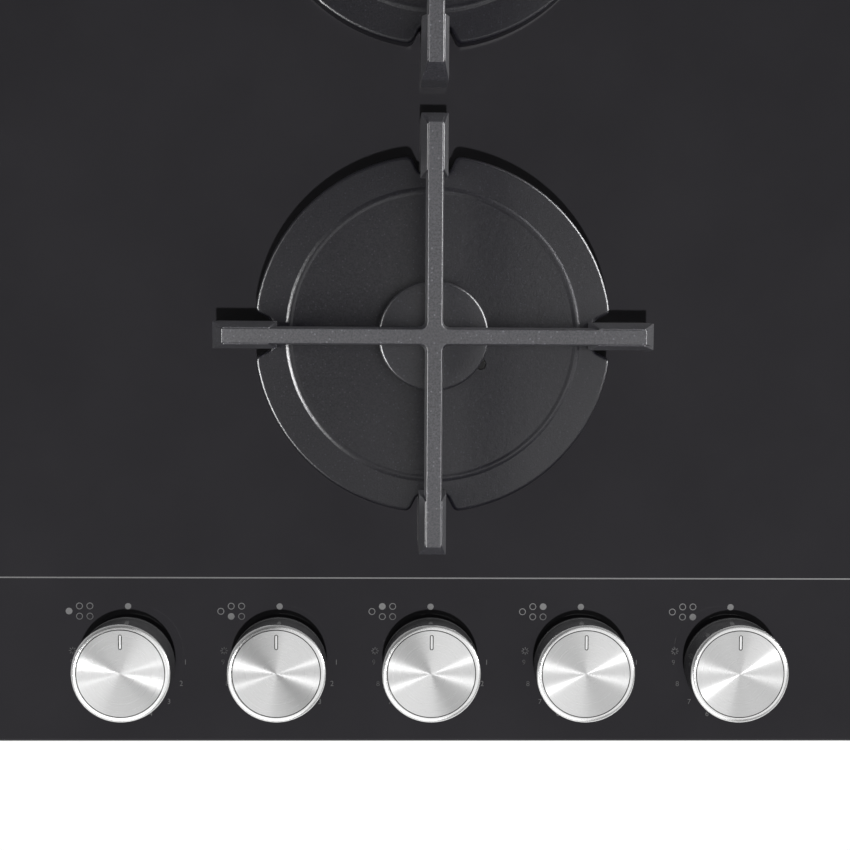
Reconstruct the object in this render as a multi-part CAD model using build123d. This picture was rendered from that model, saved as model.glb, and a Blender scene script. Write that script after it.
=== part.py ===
from build123d import *
from math import cos, pi, radians, sin
import os

# Five-burner gas hob on glass, in millimetres. The origin is the middle of the glass outline, on the worktop
# plane under the edge seal. +X is to the right, +Y to the back and +Z up.

# ---- glass, seal and tray ----------------------------------------------------------------------------
GLASS_WIDTH = 915.0
GLASS_THICKNESS = 6.0
GLASS_CORNER_RADIUS = 8.0
GLASS_EDGE_ROUND = 1.5
SEAL_THICKNESS = 3.0
SEAL_WIDTH = 12.0
SEAL_INSET = 2.0
SIDE_LAP_ON_WORKTOP = 32.5
FRONT_AND_BACK_LAP_ON_WORKTOP = 15.0
CUTOUT_CLEARANCE = 4.0
CUTOUT_FRONT_CLEARANCE = 6.0
REAR_CONNECTION_SPACE = 30.0
TRAY_DROP = 52.0
SHEET = 1.0
TRAY_CORNER_RADIUS = 12.0
TRAY_FLANGE = 5.0
CLAMP_HOLE_SIDE_INSET = 31.0
CLAMP_HOLE_FRONT_INSET = 39.0
CLAMP_HOLE_BACK_INSET = 15.0
CLAMP_HOLE_RADIUS = 2.1

# ---- layout ------------------------------------------------------------------------------------------
KNOB_ROW_FROM_FRONT = 37.5
KNOB_PITCH = 70.0
FRONT_BURNER_FROM_KNOBS = 152.5
GAP_BETWEEN_TRIVETS = 14.0
REAR_BURNER_FROM_BACK = 120.0
SIDE_BURNER_FROM_SIDE = 142.5

# ---- burners, heights above the glass ----------------------------------------------------------------
AUXILIARY_CROWN_RADIUS = 21.0
SEMI_RAPID_CROWN_RADIUS = 28.0
RAPID_CROWN_RADIUS = 36.0
WOK_CROWN_RADIUS = 52.0
WOK_INNER_CROWN_RADIUS = 17.0
WOK_RING_WIDTH = 20.0
WOK_CUP_RADIUS = 20.0
CAP_OVERHANG = 3.0
CAP_THICKNESS = 5.0
CAP_EDGE_ROUND = 2.0
CAP_RING_WIDTH = 2.0
CAP_RING_DEPTH = 1.0
WOK_INNER_GAP = 2.0
GASKET_THICKNESS = 0.8
CUP_FLANGE_THICKNESS = 2.5
CUP_FLANGE_LAP = 6.0
CUP_WALL = 2.5
CUP_WALL_INSET = 2.0
CUP_DROP = 12.0
BOSS_RADIUS = 10.0
BOSS_DEPTH = 12.0
PORT_FLOOR_HEIGHT = 13.0
PORT_HEIGHT = 4.0
PORT_WIDTH = 1.6
PORT_PITCH = 5.5
PORT_BRIDGE = 1.0
CROWN_WALL = 3.0
CROWN_FLOOR = 2.0
CROWN_SPIGOT = 3.0
FIT_CLEARANCE = 0.3
SEAT_CLEARANCE = 0.05

# ---- cover plate and trivet --------------------------------------------------------------------------
COVER_RADIUS = 80.4
WOK_COVER_RADIUS = 92.0
COVER_RIM_HEIGHT = 11.0
COVER_WALL = 3.0
COVER_STEP_INSET = 16.0
COVER_STEP_HEIGHT = 1.0
COVER_STEP_ROUND = 0.8
COVER_EDGE_ROUND = 1.6
COVER_OPENING_CLEARANCE = 1.5
PROBE_HOLE_CLEARANCE = 0.7
NOTCH_END_CLEARANCE = 2.0
NOTCH_SIDE_CLEARANCE = 1.2
NOTCH_FLARE = 3.6
NOTCH_CORNER_RADIUS = 3.0
TRIVET_HEIGHT = 40.0
FEET_BEYOND_COVER = 17.6
ARM_TOP_WIDTH = 6.0
ARM_BOTTOM_WIDTH = 8.0
ARM_HEIGHT = 11.0
ARM_CROSSING_RADIUS = 3.0
FOOT_LENGTH = 27.8
FOOT_WIDTH = 12.0
FOOT_SHOULDER_HEIGHT = 24.0
FOOT_OUTER_SLOPE = 5.6
FOOT_INNER_SLOPE = 5.0

# ---- electrode, thermocouple, injector ---------------------------------------------------------------
ELECTRODE_GAP = 4.2
ELECTRODE_RADIUS = 2.3
ELECTRODE_ANGLE = -31.0
ELECTRODE_TIP_RADIUS = 0.9
ELECTRODE_TIP_LENGTH = 2.5
THERMOCOUPLE_GAP = 1.6
THERMOCOUPLE_RADIUS = 1.2
THERMOCOUPLE_ANGLE = 149.0
PROBE_DROP = 8.0
PROBE_TIP_ROUND = 0.6
GLASS_HOLE_MARGIN = 4.8
INJECTOR_RADIUS = 3.5
INJECTOR_LENGTH = 9.0
INJECTOR_NOSE = 2.0
JET_RADIUS = 0.5
GAS_WAY_RADIUS = 2.5

# ---- knobs and taps ----------------------------------------------------------------------------------
KNOB_RADIUS = 22.0
KNOB_GAP = 4.0
KNOB_HEIGHT = 23.5
KNOB_WALL = 2.0
KNOB_HUB_RADIUS = 7.5
KNOB_HUB_RECESS = 1.0
KNOB_EDGE_ROUND = 0.8
KNOB_RIB = 1.5
KNOB_RIB_COUNT = 6
KNOB_RIB_DEPTH = 8.0
FACE_THICKNESS = 1.6
FACE_RING_WIDTH = 2.3
FACE_RING_DROP = 1.2
FACE_GROOVE_WIDTH = 0.4
FACE_GROOVE_DEPTH = 0.3
POINTER_INNER = 10.6
POINTER_OUTER = 17.2
POINTER_WIDTH = 1.7
POINTER_DEPTH = 0.4
PUSH_TRAVEL = 3.0
STEM_RADIUS = 4.0
STEM_FLAT = 3.0
STEM_IN_KNOB = 13.0
STEM_END_CLEARANCE = 0.5
STEM_HOLE_CLEARANCE = 1.0
STEM_SEAL_RADIUS = 8.7
STEM_SEAL_FLANGE_RADIUS = 11.0
STEM_SEAL_FLANGE_THICKNESS = 1.0
TAP_WIDTH = 24.0
TAP_DEPTH = 26.0
TAP_BODY_HEIGHT = 38.0
TAP_CORNER_RADIUS = 3.0
TAP_FLANGE_WIDTH = 46.0
TAP_FLANGE_DEPTH = 12.0
TAP_FLANGE_THICKNESS = 4.0
TAP_SCREW_OFFSET = 17.5
TAP_SOCKET_DEPTH = 4.0
TAP_PASSAGE_RADIUS = 2.0
TAP_NIPPLE_RADIUS = 4.0
TAP_NIPPLE_LENGTH = 3.0
PLUG_RADIUS = 8.0
PLUG_LENGTH = 26.0
PLUG_TOP_DROP = 8.0
PLUG_FLOOR = 2.0
RUNNING_CLEARANCE = 0.05
AXIAL_CLEARANCE = 0.1

# ---- gas pipes, manifold and electrics ---------------------------------------------------------------
PIPE_RADIUS = 4.0
PIPE_WALL = 1.0
PIPE_SOCKET_DEPTH = 5.0
PIPE_Z = -14.0
PIPE_BEND_RADIUS = 14.0
MANIFOLD_RADIUS = 8.0
MANIFOLD_WALL = 1.5
MANIFOLD_Z = -30.0
MANIFOLD_BEND_RADIUS = 30.0
MANIFOLD_LEFT_OVERHANG = 24.0
MANIFOLD_SIDE_INSET = 26.0
MANIFOLD_STUB = 6.0
PIPE_LEAD = 33.0
PIPE_LANE = 72.0
PIPE_BYPASS_X = 45.0
PIPE_OUTER_X = 30.0
PIPE_RETURN = 25.0
INLET_THREAD_RADIUS = 10.48
INLET_THREAD_LENGTH = 14.0
INLET_HEX_FLATS = 27.0
INLET_HEX_LENGTH = 9.0
GENERATOR_SIZE = (90.0, 50.0, 28.0)
GENERATOR_FROM_WOK = 160.0
GENERATOR_FROM_TRAY_BACK = 70.0
GENERATOR_ROUND = 3.0
OUTLET_RADIUS = 2.5
OUTLET_HEIGHT = 4.0
OUTLET_PITCH = 16.0
TERMINAL_SIZE = (70.0, 44.0, 25.0)
TERMINAL_FROM_RIGHT_BURNERS = 100.0
GLAND_BORE_RADIUS = 4.0
GLAND_RADIUS = 8.0
GLAND_NUT_FLATS = 20.0
GLAND_NUT_LENGTH = 18.0
GLAND_SPIGOT_LENGTH = 6.0

# ---- support bridges and screws ----------------------------------------------------------------------
BRIDGE_WIDTH = 120.0
BRIDGE_THICKNESS = 1.2
BRIDGE_FLANGE = 7.0
BRIDGE_END_GAP = 0.3
TAP_RAIL_OVERHANG = 30.0
TAP_RAIL_BACK = 24.0
SCREW_RADIUS = 2.0
SCREW_HEAD_RADIUS = 3.8
SCREW_HEAD_HEIGHT = 2.0
SCREW_HEAD_ROUND = 1.0
SCREW_SLOT = 0.8
BURNER_SCREW_ANGLES = (60.0, 240.0)

# ---- levels and places that follow from the sizes above ----------------------------------------------
TRIVET_REACH = COVER_RADIUS + FEET_BEYOND_COVER
ROW_SPACING = 2 * TRIVET_REACH + GAP_BETWEEN_TRIVETS
GLASS_DEPTH = KNOB_ROW_FROM_FRONT + FRONT_BURNER_FROM_KNOBS + ROW_SPACING + REAR_BURNER_FROM_BACK
KNOB_ROW_Y = -GLASS_DEPTH / 2 + KNOB_ROW_FROM_FRONT
FRONT_Y = KNOB_ROW_Y + FRONT_BURNER_FROM_KNOBS
REAR_Y = FRONT_Y + ROW_SPACING
BETWEEN_ROWS_Y = (FRONT_Y + REAR_Y) / 2
SIDE_COLUMN_X = GLASS_WIDTH / 2 - SIDE_BURNER_FROM_SIDE
GLASS_BOTTOM = SEAL_THICKNESS
GLASS_TOP = GLASS_BOTTOM + GLASS_THICKNESS
BRIDGE_BOTTOM = GLASS_BOTTOM - BRIDGE_THICKNESS
TRAY_SIDE = GLASS_WIDTH / 2 - SIDE_LAP_ON_WORKTOP - CUTOUT_CLEARANCE
TRAY_FRONT = -GLASS_DEPTH / 2 + FRONT_AND_BACK_LAP_ON_WORKTOP + CUTOUT_FRONT_CLEARANCE
TRAY_BACK = GLASS_DEPTH / 2 - FRONT_AND_BACK_LAP_ON_WORKTOP - REAR_CONNECTION_SPACE
TRAY_FLOOR = -TRAY_DROP + SHEET
CUP_TOP = GLASS_TOP + GASKET_THICKNESS + CUP_FLANGE_THICKNESS
PORT_FLOOR = GLASS_TOP + PORT_FLOOR_HEIGHT
CROWN_TOP = PORT_FLOOR + PORT_HEIGHT
CAP_TOP = CROWN_TOP + CAP_THICKNESS
INJECTOR_BOTTOM = PIPE_Z + PIPE_RADIUS
TAP_TOP = BRIDGE_BOTTOM
PLUG_TOP = TAP_TOP - PLUG_TOP_DROP
KNOB_BOTTOM = GLASS_TOP + KNOB_GAP
KNOB_TOP = GLASS_TOP + KNOB_HEIGHT
FACE_BOTTOM = KNOB_TOP - FACE_THICKNESS
STEM_TOP = KNOB_BOTTOM + KNOB_HUB_RECESS + STEM_IN_KNOB
MANIFOLD_X = TRAY_SIDE - MANIFOLD_SIDE_INSET
MANIFOLD_Y = KNOB_ROW_Y + TAP_DEPTH / 2 + FIT_CLEARANCE + MANIFOLD_RADIUS
BEHIND_TAPS_Y = KNOB_ROW_Y + PIPE_LEAD
LANE_Y = KNOB_ROW_Y + PIPE_LANE
TERMINAL_X = SIDE_COLUMN_X - TERMINAL_FROM_RIGHT_BURNERS
GLAND_Z = TRAY_FLOOR + TERMINAL_SIZE[2] / 2
# How far off a level an edge may lie and still count as on it.
LEVEL_TOLERANCE = 0.0001


class Burner:
    """One burner: where it stands and how large its crown, cover plate and trivet are."""

    def __init__(self, name, x, y, crown, cover=COVER_RADIUS):
        self.name = name
        self.x = x
        self.y = y
        self.crown = crown
        self.cover = cover
        self.reach = cover + FEET_BEYOND_COVER
        self.is_wok = crown == WOK_CROWN_RADIUS
        self.cup = crown - CUP_WALL_INSET
        self.probe = crown + ELECTRODE_GAP
        if self.is_wok:
            self.cup = WOK_CUP_RADIUS
            self.probe = self.cup + ELECTRODE_GAP
        self.glass_hole = self.probe + GLASS_HOLE_MARGIN
        self.flange = self.glass_hole + CUP_FLANGE_LAP

    def place(self, shape):
        return Pos(self.x, self.y, 0) * shape


# Knobs run from left to right in this order.
BURNERS = [
    Burner("wok", -SIDE_COLUMN_X, BETWEEN_ROWS_Y, WOK_CROWN_RADIUS, WOK_COVER_RADIUS),
    Burner("front_centre", 0.0, FRONT_Y, AUXILIARY_CROWN_RADIUS),
    Burner("rear_centre", 0.0, REAR_Y, SEMI_RAPID_CROWN_RADIUS),
    Burner("rear_right", SIDE_COLUMN_X, REAR_Y, RAPID_CROWN_RADIUS),
    Burner("front_right", SIDE_COLUMN_X, FRONT_Y, SEMI_RAPID_CROWN_RADIUS),
]


def knob_x(index):
    return (index - (len(BURNERS) - 1) / 2) * KNOB_PITCH


def polar(radius, degrees):
    return radius * cos(radians(degrees)), radius * sin(radians(degrees))


def disc(radius, bottom, top, x=0.0, y=0.0):
    return Pos(x, y, (bottom + top) / 2) * Cylinder(radius, top - bottom)


def block(x_range, y_range, z_range):
    size = [high - low for low, high in (x_range, y_range, z_range)]
    middle = [(low + high) / 2 for low, high in (x_range, y_range, z_range)]
    return Pos(*middle) * Box(*size)


def slab(width, depth, radius, bottom, thickness):
    return Pos(0, 0, bottom) * extrude(RectangleRounded(width, depth, radius), thickness)


def d_section(radius, flat):
    return Circle(radius) - Pos(0, -(flat + radius)) * Rectangle(2 * radius, 2 * radius)


def edges_at(shape, z):
    return shape.edges().filter_by_position(Axis.Z, z - LEVEL_TOLERANCE, z + LEVEL_TOLERANCE)


# ---- glass, seal, tray -------------------------------------------------------------------------------
def make_glass():
    glass = slab(GLASS_WIDTH, GLASS_DEPTH, GLASS_CORNER_RADIUS, GLASS_BOTTOM, GLASS_THICKNESS)
    glass = fillet(edges_at(glass, GLASS_TOP), GLASS_EDGE_ROUND)
    for burner in BURNERS:
        glass -= burner.place(disc(burner.glass_hole, GLASS_BOTTOM, GLASS_TOP))
    for index in range(len(BURNERS)):
        hole = disc(STEM_SEAL_RADIUS + FIT_CLEARANCE, GLASS_BOTTOM, GLASS_TOP, knob_x(index), KNOB_ROW_Y)
        glass -= hole
    return glass


def make_seal():
    width = GLASS_WIDTH - 2 * SEAL_INSET
    depth = GLASS_DEPTH - 2 * SEAL_INSET
    outer = slab(width, depth, GLASS_CORNER_RADIUS, 0, SEAL_THICKNESS)
    inner_size = (width - 2 * SEAL_WIDTH, depth - 2 * SEAL_WIDTH)
    return outer - slab(*inner_size, GLASS_CORNER_RADIUS / 2, 0, SEAL_THICKNESS)


def make_tray():
    width = 2 * TRAY_SIDE
    depth = TRAY_BACK - TRAY_FRONT
    height = TRAY_DROP + GLASS_BOTTOM
    shift = Pos(0, (TRAY_BACK + TRAY_FRONT) / 2, 0)
    tray = slab(width, depth, TRAY_CORNER_RADIUS, -TRAY_DROP, height)
    flange_size = (width + 2 * TRAY_FLANGE, depth + 2 * TRAY_FLANGE, TRAY_CORNER_RADIUS + TRAY_FLANGE)
    tray += slab(*flange_size, GLASS_BOTTOM - SHEET, SHEET)
    inner_size = (width - 2 * SHEET, depth - 2 * SHEET, TRAY_CORNER_RADIUS - SHEET)
    tray = shift * (tray - slab(*inner_size, TRAY_FLOOR, height))
    for x in (-TRAY_SIDE + CLAMP_HOLE_SIDE_INSET, TRAY_SIDE - CLAMP_HOLE_SIDE_INSET):
        for y in (TRAY_FRONT + CLAMP_HOLE_FRONT_INSET, TRAY_BACK - CLAMP_HOLE_BACK_INSET):
            tray -= disc(CLAMP_HOLE_RADIUS, -TRAY_DROP, TRAY_FLOOR, x, y)
    wall = (TRAY_BACK - SHEET, TRAY_BACK)
    tray -= along_y(MANIFOLD_RADIUS + FIT_CLEARANCE, MANIFOLD_X, MANIFOLD_Z, *wall)
    tray -= along_y(GLAND_RADIUS + FIT_CLEARANCE, TERMINAL_X, GLAND_Z, *wall)
    return tray


def along_y(radius, x, z, start, end):
    """A round bar along Y from start to end."""
    return Pos(x, (start + end) / 2, z) * Rot(90, 0, 0) * Cylinder(radius, end - start)


# ---- support bridges and tap rail --------------------------------------------------------------------
def make_bridge(x, burners):
    half = BRIDGE_WIDTH / 2
    y_range = (TRAY_FRONT + SHEET + BRIDGE_END_GAP, TRAY_BACK - SHEET - BRIDGE_END_GAP)
    if x == 0.0:
        y_range = (KNOB_ROW_Y + TAP_RAIL_BACK + BRIDGE_END_GAP, y_range[1])
    bridge = block((x - half, x + half), y_range, (BRIDGE_BOTTOM, GLASS_BOTTOM))
    for side in (-half, half - BRIDGE_THICKNESS):
        x_range = (x + side, x + side + BRIDGE_THICKNESS)
        bridge += block(x_range, y_range, (BRIDGE_BOTTOM - BRIDGE_FLANGE, GLASS_BOTTOM))
    for burner in burners:
        opening = disc(burner.cup + FIT_CLEARANCE, BRIDGE_BOTTOM, GLASS_BOTTOM)
        for x_hole, y_hole, radius in probe_holes(burner) + screw_holes(burner):
            opening += disc(radius, BRIDGE_BOTTOM, GLASS_BOTTOM, x_hole, y_hole)
        bridge -= burner.place(opening)
    return bridge


def make_tap_rail():
    half = TAP_RAIL_OVERHANG - knob_x(0)
    y_range = (TRAY_FRONT + SHEET + BRIDGE_END_GAP, KNOB_ROW_Y + TAP_RAIL_BACK)
    rail = block((-half, half), y_range, (BRIDGE_BOTTOM, GLASS_BOTTOM))
    for index in range(len(BURNERS)):
        x = knob_x(index)
        rail -= disc(STEM_RADIUS + STEM_HOLE_CLEARANCE, BRIDGE_BOTTOM, GLASS_BOTTOM, x, KNOB_ROW_Y)
        for side in (-TAP_SCREW_OFFSET, TAP_SCREW_OFFSET):
            rail -= disc(SCREW_RADIUS + SEAT_CLEARANCE, BRIDGE_BOTTOM, GLASS_BOTTOM, x + side, KNOB_ROW_Y)
    return rail


def probe_holes(burner):
    """Places and radii of the holes for the electrode and the thermocouple, from the burner's centre."""
    electrode = polar(burner.probe, ELECTRODE_ANGLE)
    thermocouple = polar(thermocouple_place(burner), THERMOCOUPLE_ANGLE)
    radii = (ELECTRODE_RADIUS + FIT_CLEARANCE, THERMOCOUPLE_RADIUS + FIT_CLEARANCE)
    return [(*electrode, radii[0]), (*thermocouple, radii[1])]


def thermocouple_place(burner):
    if burner.is_wok:
        return burner.probe
    return burner.crown + THERMOCOUPLE_GAP


def screw_holes(burner):
    return [(*polar(burner.probe, angle), SCREW_RADIUS + SEAT_CLEARANCE) for angle in BURNER_SCREW_ANGLES]


# ---- burner pieces -----------------------------------------------------------------------------------
def make_cup(burner):
    """The cast cup hangs through the glass from its flange and narrows to the injector boss."""
    cup_floor = GLASS_BOTTOM - CUP_DROP
    boss_floor = PIPE_Z - BOSS_DEPTH / 2
    outline = [
        (0, boss_floor),
        (BOSS_RADIUS, boss_floor),
        (BOSS_RADIUS, cup_floor),
        (burner.cup, GLASS_BOTTOM - CUP_DROP / 2),
        (burner.cup, CUP_TOP - CUP_FLANGE_THICKNESS),
        (burner.flange, CUP_TOP - CUP_FLANGE_THICKNESS),
        (burner.flange, CUP_TOP),
        (burner.cup - CUP_WALL, CUP_TOP),
        (burner.cup - CUP_WALL, GLASS_BOTTOM - CUP_DROP / 2 + CUP_WALL),
        (BOSS_RADIUS - CUP_WALL, cup_floor + CUP_WALL),
        (0, cup_floor + CUP_WALL),
    ]
    cup = revolve(Plane.XZ * make_face(Polyline(*outline, close=True)), Axis.Z)
    cup -= disc(INJECTOR_RADIUS + SEAT_CLEARANCE, INJECTOR_BOTTOM, cup_floor + CUP_WALL)
    cup -= disc(GAS_WAY_RADIUS, PIPE_Z, cup_floor)
    cup -= along_y(PIPE_RADIUS + SEAT_CLEARANCE, 0, PIPE_Z, -BOSS_RADIUS, -BOSS_RADIUS + PIPE_SOCKET_DEPTH)
    cup -= along_y(PIPE_RADIUS - PIPE_WALL, 0, PIPE_Z, -BOSS_RADIUS, 0)
    for x, y, radius in probe_holes(burner) + screw_holes(burner):
        cup -= disc(radius, CUP_TOP - CUP_FLANGE_THICKNESS, CUP_TOP, x, y)
    return burner.place(cup)


def make_gasket(burner):
    outer = disc(burner.flange, GLASS_TOP, GLASS_TOP + GASKET_THICKNESS)
    return burner.place(outer - disc(burner.glass_hole, GLASS_TOP, GLASS_TOP + GASKET_THICKNESS))


def make_injector(burner):
    bottom = INJECTOR_BOTTOM
    body = disc(INJECTOR_RADIUS, bottom, bottom + INJECTOR_LENGTH)
    nose = Cone(INJECTOR_RADIUS, INJECTOR_RADIUS / 2, INJECTOR_NOSE)
    body += Pos(0, 0, bottom + INJECTOR_LENGTH + INJECTOR_NOSE / 2) * nose
    return burner.place(body - disc(JET_RADIUS, bottom, bottom + INJECTOR_LENGTH + INJECTOR_NOSE))


def make_electrode(burner):
    x, y = polar(burner.probe, ELECTRODE_ANGLE)
    top = PORT_FLOOR
    rod = disc(ELECTRODE_RADIUS, GLASS_BOTTOM - PROBE_DROP, top, x, y)
    rod = fillet(edges_at(rod, top), PROBE_TIP_ROUND)
    return burner.place(rod + disc(ELECTRODE_TIP_RADIUS, top, top + ELECTRODE_TIP_LENGTH, x, y))


def make_thermocouple(burner):
    x, y = polar(thermocouple_place(burner), THERMOCOUPLE_ANGLE)
    top = PORT_FLOOR + PORT_HEIGHT / 2
    rod = disc(THERMOCOUPLE_RADIUS, GLASS_BOTTOM - PROBE_DROP, top, x, y)
    return burner.place(fillet(edges_at(rod, top), PROBE_TIP_ROUND))


def ring_of_ports(radius):
    """Radial slots through the wall of a crown, in the band under its cap."""
    count = round(2 * pi * radius / PORT_PITCH)
    x_range = (radius - 2 * CROWN_WALL, radius + CROWN_WALL)
    slot = block(x_range, (-PORT_WIDTH / 2, PORT_WIDTH / 2), (PORT_FLOOR, CROWN_TOP - PORT_BRIDGE))
    return [Rot(0, 0, 360.0 * index / count) * slot for index in range(count)]


def tube(outer, inner, bottom, top):
    return disc(outer, bottom, top) - disc(inner, bottom, top)


def make_crown(burner):
    """The flame spreader stands on the cup's flange, with the ports round its top edge."""
    spigot = burner.cup - CUP_WALL - FIT_CLEARANCE
    crown = tube(burner.crown, burner.crown - CROWN_WALL, CUP_TOP, CROWN_TOP)
    crown += tube(burner.crown, spigot - CROWN_WALL, CUP_TOP, CUP_TOP + CROWN_FLOOR)
    crown += tube(spigot, spigot - CROWN_WALL, CUP_TOP - CROWN_SPIGOT, CUP_TOP)
    slots = ring_of_ports(burner.crown)
    if burner.is_wok:
        inner = burner.crown - WOK_RING_WIDTH
        crown += tube(inner + CROWN_WALL, inner, CUP_TOP, CROWN_TOP)
        crown += tube(WOK_INNER_CROWN_RADIUS, WOK_INNER_CROWN_RADIUS - CROWN_WALL, CUP_TOP, CROWN_TOP)
        slots += ring_of_ports(WOK_INNER_CROWN_RADIUS)
        for x, y, radius in probe_holes(burner):
            crown -= disc(radius + FIT_CLEARANCE, CUP_TOP, CUP_TOP + CROWN_FLOOR, x, y)
        for x, y, radius in screw_holes(burner):
            crown -= disc(SCREW_HEAD_RADIUS + FIT_CLEARANCE, CUP_TOP, CUP_TOP + CROWN_FLOOR, x, y)
    return burner.place(crown - slots)


def make_cap(crown_radius, opening=0.0):
    """A burner cap, which laps over the crown and drops a ring inside it."""
    cap = disc(crown_radius + CAP_OVERHANG, CROWN_TOP, CAP_TOP)
    if opening:
        cap -= disc(opening, CROWN_TOP, CAP_TOP)
    cap = fillet(edges_at(cap, CAP_TOP), CAP_EDGE_ROUND)
    ring = crown_radius - CROWN_WALL - FIT_CLEARANCE
    return cap + tube(ring, ring - CAP_RING_WIDTH, CROWN_TOP - CAP_RING_DEPTH, CROWN_TOP)


def cover_outline(burner):
    """The round outline with a notch for each foot of the trivet."""
    outline = Circle(burner.cover)
    bottom = burner.reach - FOOT_LENGTH - NOTCH_END_CLEARANCE
    narrow = FOOT_WIDTH / 2 + NOTCH_SIDE_CLEARANCE
    wide = narrow + NOTCH_FLARE
    mouth = burner.cover + NOTCH_FLARE
    corners = [(bottom, -narrow), (mouth, -wide), (mouth, wide), (bottom, narrow)]
    notch = make_face(Polyline(*corners, close=True))
    for angle in range(0, 360, 90):
        outline -= Rot(0, 0, angle) * notch
    return fillet(outline.vertices(), NOTCH_CORNER_RADIUS)


def make_cover(burner):
    outline = cover_outline(burner)
    top = GLASS_TOP + COVER_RIM_HEIGHT
    cover = Pos(0, 0, GLASS_TOP) * extrude(outline, COVER_RIM_HEIGHT)
    cover = fillet(edges_at(cover, top), COVER_EDGE_ROUND)
    hollow = offset(outline, -COVER_WALL)
    cover -= Pos(0, 0, GLASS_TOP) * extrude(hollow, COVER_RIM_HEIGHT - COVER_WALL)
    middle = disc(burner.cover - COVER_STEP_INSET, top, top + COVER_STEP_HEIGHT)
    cover += fillet(edges_at(middle, top + COVER_STEP_HEIGHT), COVER_STEP_ROUND)
    opening_top = top + COVER_STEP_HEIGHT
    cover -= disc(burner.crown + COVER_OPENING_CLEARANCE, GLASS_TOP, opening_top)
    if not burner.is_wok:
        for x, y, radius in probe_holes(burner):
            cover -= disc(radius + PROBE_HOLE_CLEARANCE, GLASS_TOP, opening_top, x, y)
    return burner.place(cover)


def make_arm(reach):
    """One bar of the trivet's cross, along X, a little wider at its bottom than at its top."""
    top = GLASS_TOP + TRIVET_HEIGHT
    length = reach - FOOT_LENGTH + FOOT_INNER_SLOPE + ARM_HEIGHT / 2
    wide = ARM_BOTTOM_WIDTH / 2
    narrow = ARM_TOP_WIDTH / 2
    bottom = top - ARM_HEIGHT
    section = Polyline((-wide, bottom), (wide, bottom), (narrow, top), (-narrow, top), close=True)
    return extrude(Plane.YZ * make_face(section), length, both=True)


def make_foot(reach):
    """A foot stands on the glass and slopes in from its shoulders to the top of the arm."""
    top = GLASS_TOP + TRIVET_HEIGHT
    shoulder = GLASS_TOP + FOOT_SHOULDER_HEIGHT
    inner = reach - FOOT_LENGTH
    foot = block((inner, reach), (-FOOT_WIDTH / 2, FOOT_WIDTH / 2), (GLASS_TOP, shoulder))
    crown_length = FOOT_LENGTH - FOOT_INNER_SLOPE - FOOT_OUTER_SLOPE
    base = Pos(inner + FOOT_LENGTH / 2, 0, shoulder) * Rectangle(FOOT_LENGTH, FOOT_WIDTH)
    crown_middle = inner + FOOT_INNER_SLOPE + crown_length / 2
    crown = Pos(crown_middle, 0, top) * Rectangle(crown_length, ARM_TOP_WIDTH)
    return foot + loft([base, crown])


def make_trivet(burner):
    arm = make_arm(burner.reach)
    cross = arm + Rot(0, 0, 90) * arm
    inner_corners = [edge for edge in cross.edges() if is_crossing_edge(edge)]
    cross = fillet(inner_corners, ARM_CROSSING_RADIUS)
    for angle in range(0, 360, 90):
        cross += Rot(0, 0, angle) * make_foot(burner.reach)
    return burner.place(cross)


def is_crossing_edge(edge):
    """The four upright edges where the two bars of the cross meet."""
    middle = edge @ 0.5
    low, high = edge.bounding_box().min.Z, edge.bounding_box().max.Z
    return high - low > ARM_HEIGHT / 2 and max(abs(middle.X), abs(middle.Y)) < ARM_BOTTOM_WIDTH


def make_screw(length):
    """A slotted pan-head screw with its head on z = 0 and its shank below."""
    head = disc(SCREW_HEAD_RADIUS, 0, SCREW_HEAD_HEIGHT)
    head = fillet(edges_at(head, SCREW_HEAD_HEIGHT), SCREW_HEAD_ROUND)
    slot_bottom = SCREW_HEAD_HEIGHT - SCREW_SLOT
    across = (-SCREW_SLOT / 2, SCREW_SLOT / 2)
    head -= block((-SCREW_HEAD_RADIUS, SCREW_HEAD_RADIUS), across, (slot_bottom, SCREW_HEAD_HEIGHT))
    return head + disc(SCREW_RADIUS, -length, 0)


def make_burner_screws():
    screw = make_screw(CUP_TOP - BRIDGE_BOTTOM + SCREW_HEAD_HEIGHT)
    screws = []
    for burner in BURNERS:
        for x, y, radius in screw_holes(burner):
            screws.append(Pos(burner.x + x, burner.y + y, CUP_TOP) * screw)
    return screws


def make_tap_screws():
    screw = Rot(180, 0, 0) * make_screw(TAP_FLANGE_THICKNESS + BRIDGE_THICKNESS - FIT_CLEARANCE)
    screws = []
    for index in range(len(BURNERS)):
        for side in (-TAP_SCREW_OFFSET, TAP_SCREW_OFFSET):
            screws.append(Pos(knob_x(index) + side, KNOB_ROW_Y, TAP_TOP - TAP_FLANGE_THICKNESS) * screw)
    return screws


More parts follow.
